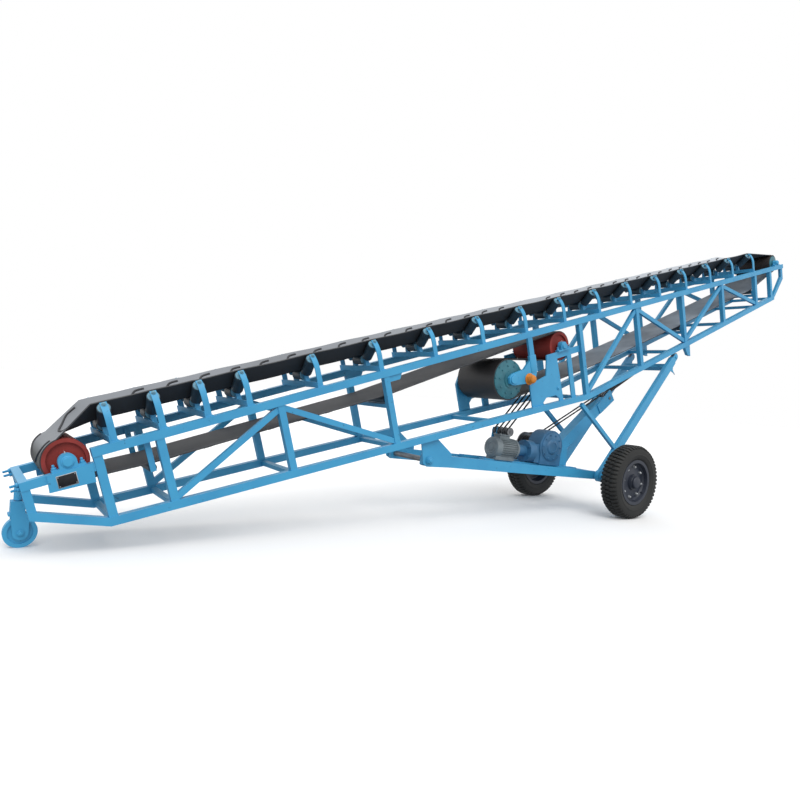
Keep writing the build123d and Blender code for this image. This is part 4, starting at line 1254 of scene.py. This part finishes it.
@dataclass
class Winch(Trim):
    """Fins, cowl and lid of the winch motor, and the covers and bolts of its gearbox."""

    motor_y: float = -110
    motor_above: float = 180
    motor_radius: float = 98
    motor_reach: Pair = (950, 1270)
    fins: int = 30
    fin_room: Pair = (70, 40)
    lid_reach: float = 1080
    lid_above: float = 316
    lid_screws: Trio = (66, 40, 6)
    gear_reach: float = 1760
    gear_above: float = 256
    gear_face: float = -200
    gear_circle: float = 132
    gear_seat: float = 10.5
    flange_reach: float = 1421
    flange_circle: float = 102
    cover: Outline = ((0, 0), (152, 0), (152, 8), (146, 12), (84, 12), (70, 28),
                      (52, 32), (50, 26), (0, 26))

    def __post_init__(self) -> None:
        """Finds the arm that carries the winch."""
        self.arm = ArmLine.from_frame()

    def build(self) -> None:
        """Models the fittings of the winch."""
        self._motor()
        self._gearbox()

    def _ring(self, reach: float, radius: float, angle: float) -> Vector:
        """A point on a circle round the motor's axis."""
        return self.arm.at(reach, self.motor_above + radius * math.sin(angle),
                           self.motor_y + radius * math.cos(angle))

    def _motor(self) -> None:
        """Cooling fins round the shell, the fan cowl with its grille, and the terminal box's lid."""
        rear, front = self.motor_reach
        fin_rear, fin_front = rear + self.fin_room[0], front - self.fin_room[1]
        wall = self.motor_radius
        fins = []
        for angle in around(self.fins):
            outward = (self._ring(0, 1, angle) - self._ring(0, 0, angle)).normalized()
            centre = self._ring((fin_rear + fin_front) / 2, wall + 4, angle)
            fins.append(facing(centre, self.arm.ahead, outward))
        fin = block("motor_fin", (fin_front - fin_rear, 16, 4), 1.2)
        self.repeat("motor_fins", fin, fins, MOTOR_ENAMEL, ARMS)
        cowl = ((wall - 0.5, 0), (wall + 9, 0), (wall + 9, 58), (wall + 2, 70), (74, 76),
                (72, 72), (60, 72), (58, 76), (48, 76), (46, 72), (34, 72), (32, 76),
                (0, 77), (0, 66), (wall - 0.5, 66))
        shield = ((60, 0), (wall + 8, 0), (wall + 8, 22), (wall, 30), (60, 30))
        lid = facing(self.arm.at(self.lid_reach, self.lid_above, self.motor_y), self.arm.ahead, ASIDE)
        parts = [lathe("fan_cowl", cowl, self._ring(rear + 65, 0, 0), -self.arm.ahead, 40),
                 lathe("end_shield", shield, self._ring(front - 34, 0, 0), self.arm.ahead, 40),
                 block("terminal_lid", (156, 104, 14), 4, lid)]
        self.dress(joined("motor_shell", parts), MOTOR_ENAMEL, ARMS)
        forth, aside, rise = self.lid_screws
        corners = [self.arm.at(self.lid_reach + x * forth, self.lid_above + rise, self.motor_y + y * aside)
                   for x in SIDES for y in SIDES]
        bolts = [along(corner, self.arm.up) for corner in corners]
        bolts.extend(along(self._ring(front - 6, wall - 8, angle), self.arm.ahead) for angle in around(4))
        self.repeat("motor_bolts", hex_bolt(7, 5), bolts, ZINC, ARMS)

    def _gearbox(self) -> None:
        """The round cover on the near side with its boss and bolts, and the flange bolts."""
        face = self.arm.at(self.gear_reach, self.gear_above, self.gear_face + 1)
        self.dress(lathe("gear_cover", self.cover, face, -ASIDE, 48), GEARBOX_ENAMEL, ARMS)
        bolts = []
        for angle in around(10, 0):
            seat = self.arm.at(self.gear_reach + self.gear_circle * math.cos(angle),
                               self.gear_above + self.gear_circle * math.sin(angle),
                               self.gear_face - self.gear_seat)
            bolts.append(along(seat, -ASIDE))
        for angle in around(6):
            bolts.append(along(self._ring(self.flange_reach, self.flange_circle, angle), -self.arm.ahead))
        self.repeat("gear_bolts", hex_bolt(10, 8), bolts, GEARBOX_ENAMEL, ARMS)


@dataclass
class Wheels(Trim):
    """Tyres with their road tread, and the nuts, hub caps and valves of the road wheels."""

    tyre_radius: float = 399.6
    lugs: int = 54
    lug_bevel: float = 2.5
    lug_size: Trio = (33, 38, 40)
    lug_y: float = 46
    edge_size: Trio = (27, 44, 36)
    edge_y: float = 70.7
    edge_radius: float = 372.7
    edge_lean: float = math.radians(32)
    crown_size: Trio = (30, 46, 16)
    nut_circle: float = 165
    nut_y: float = 28.5
    nut_count: int = 8
    valve_turn: float = 2.2
    valve_circle: float = 198
    valve_y: float = 40
    half_tyre: Outline = ((228.4, 70), (248, 74), (256, 85), (266, 91.5), (284, 96.5), (298, 99.5),
                          (300, 102), (307, 102), (309, 100.8), (319, 101.4), (338, 99.6),
                          (352, 97.4), (363, 95), (370, 86), (375, 77), (382, 60))
    cap: Outline = ((45, 61), (70, 61), (70, 68), (66, 72), (64, 92), (56, 100),
                    (30, 104), (0, 105), (0, 98), (45, 98))
    valve: Outline = ((0, 0), (6, 0), (6, 22), (4, 24), (4, 34), (0, 34))

    def build(self) -> None:
        """Dresses both wheels."""
        for side, name in zip(SIDES, ("near", "far")):
            centre = middle(f"{name}_tyre")
            self._tyre(name, centre)
            self._hub(name, centre, ASIDE * side)

    def _tyre(self, name: str, centre: Vector) -> None:
        """The carcass with its side rings, and three rows of tread blocks that slope at the shoulders."""
        outline = (*self.half_tyre, *((radius, -y) for radius, y in reversed(self.half_tyre)))
        sizes = (self.lug_size, self.crown_size)
        lug_radius, crown_radius = (self.tyre_radius - size[2] / 2 for size in sizes)
        shoulder, edges, crown = [], [], []
        for n in range(self.lugs):
            for row, shift in ((-1, 0), (1, 0.5)):
                share = (n + shift) / self.lugs
                shoulder.append(self._round(centre, share, lug_radius, row * self.lug_y))
                lean = Matrix.Rotation(-row * self.edge_lean, 4, "X")
                edges.append(self._round(centre, share, self.edge_radius, row * self.edge_y) @ lean)
            crown.append(self._round(centre, (n + 0.25) / self.lugs, crown_radius, 0))
        rows = [copied("lugs", block("lug", size, self.lug_bevel), places) for size, places in
                ((self.lug_size, shoulder), (self.edge_size, edges), (self.crown_size, crown))]
        tyre = joined(f"{name}_road_tyre", [lathe("carcass", outline, centre, ASIDE, 72), *rows])
        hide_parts(f"{name}_tyre")
        self.dress(tyre, TYRE_RUBBER, f"{name}_wheel")

    @staticmethod
    def _round(centre: Vector, share: float, radius: float, y: float) -> Matrix:
        """A placing on the tread, with local Z pointing away from the axle."""
        turn = Matrix.Rotation(math.tau * share, 4, "Y")
        return Matrix.Translation(centre + ASIDE * y * MM) @ turn @ Matrix.Translation(UPRIGHT * radius * MM)

    def _hub(self, name: str, centre: Vector, out: Vector) -> None:
        """Bright wheel nuts, a dark hub cap and the valve, on the outer side."""
        def seat(angle: float, radius: float, y: float) -> Matrix:
            """A placing on the wheel's disc."""
            spoke = Vector((math.sin(angle), 0, math.cos(angle)))
            return along(centre + (spoke * radius + out * y) * MM, out)

        nuts = [seat(angle, self.nut_circle, self.nut_y) for angle in around(self.nut_count, 0.2)]
        self.repeat(f"{name}_wheel_nuts", hex_bolt(15, 12, 9), nuts, ZINC, f"{name}_wheel")
        valve = lathe("valve", self.valve, steps=12)
        valve.data.transform(seat(self.valve_turn, self.valve_circle, self.valve_y))
        hub = joined(f"{name}_hub_cap", [lathe("hub_cap", self.cap, centre, out, 40), valve])
        self.dress(hub, RIM_ENAMEL, f"{name}_wheel")


@dataclass
class Pins(Trim):
    """Nuts and pin heads at the arm's pivot and the leg rollers."""

    head: Outline = ((0, -1), (21, -1), (21, 5), (17, 9), (0, 10))

    def build(self) -> None:
        """Models the pin ends on both sides."""
        ends = outer_ends(middle("pivot_shaft"), "pivot_shaft", 2)
        self.repeat("pivot_nuts", hex_bolt(32, 16, 8), [along(*end) for end in ends])
        ends = outer_ends(middle("leg_rollers"), "leg_rollers")
        heads = [lathe("pin_head", self.head, *end, 24) for end in ends]
        self.dress(joined("leg_pin_heads", heads), body="leg_frame")


def dress_nodes(frame: dict, paints: Paints) -> None:
    """Gives every carried-over node of the loaded frame its finish."""
    for finish, names in NODE_FINISHES.items():
        for name in names:
            paints.coat(frame["nodes"][name], finish)


def main() -> None:
    """Builds the conveyor's looks in order."""
    logging.basicConfig(level=logging.INFO)
    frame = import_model()
    paints = Paints()
    line = TrussLine.from_frame()
    dress_nodes(frame, paints)
    for kind in (Studio, Belt, Ropes, Idlers, Bearings, Tail, Drive, Winch, Wheels, Pins):
        kind(line, paints).build()
        LOG.info("built %s", kind.__name__)


if __name__ == "__main__":
    main()
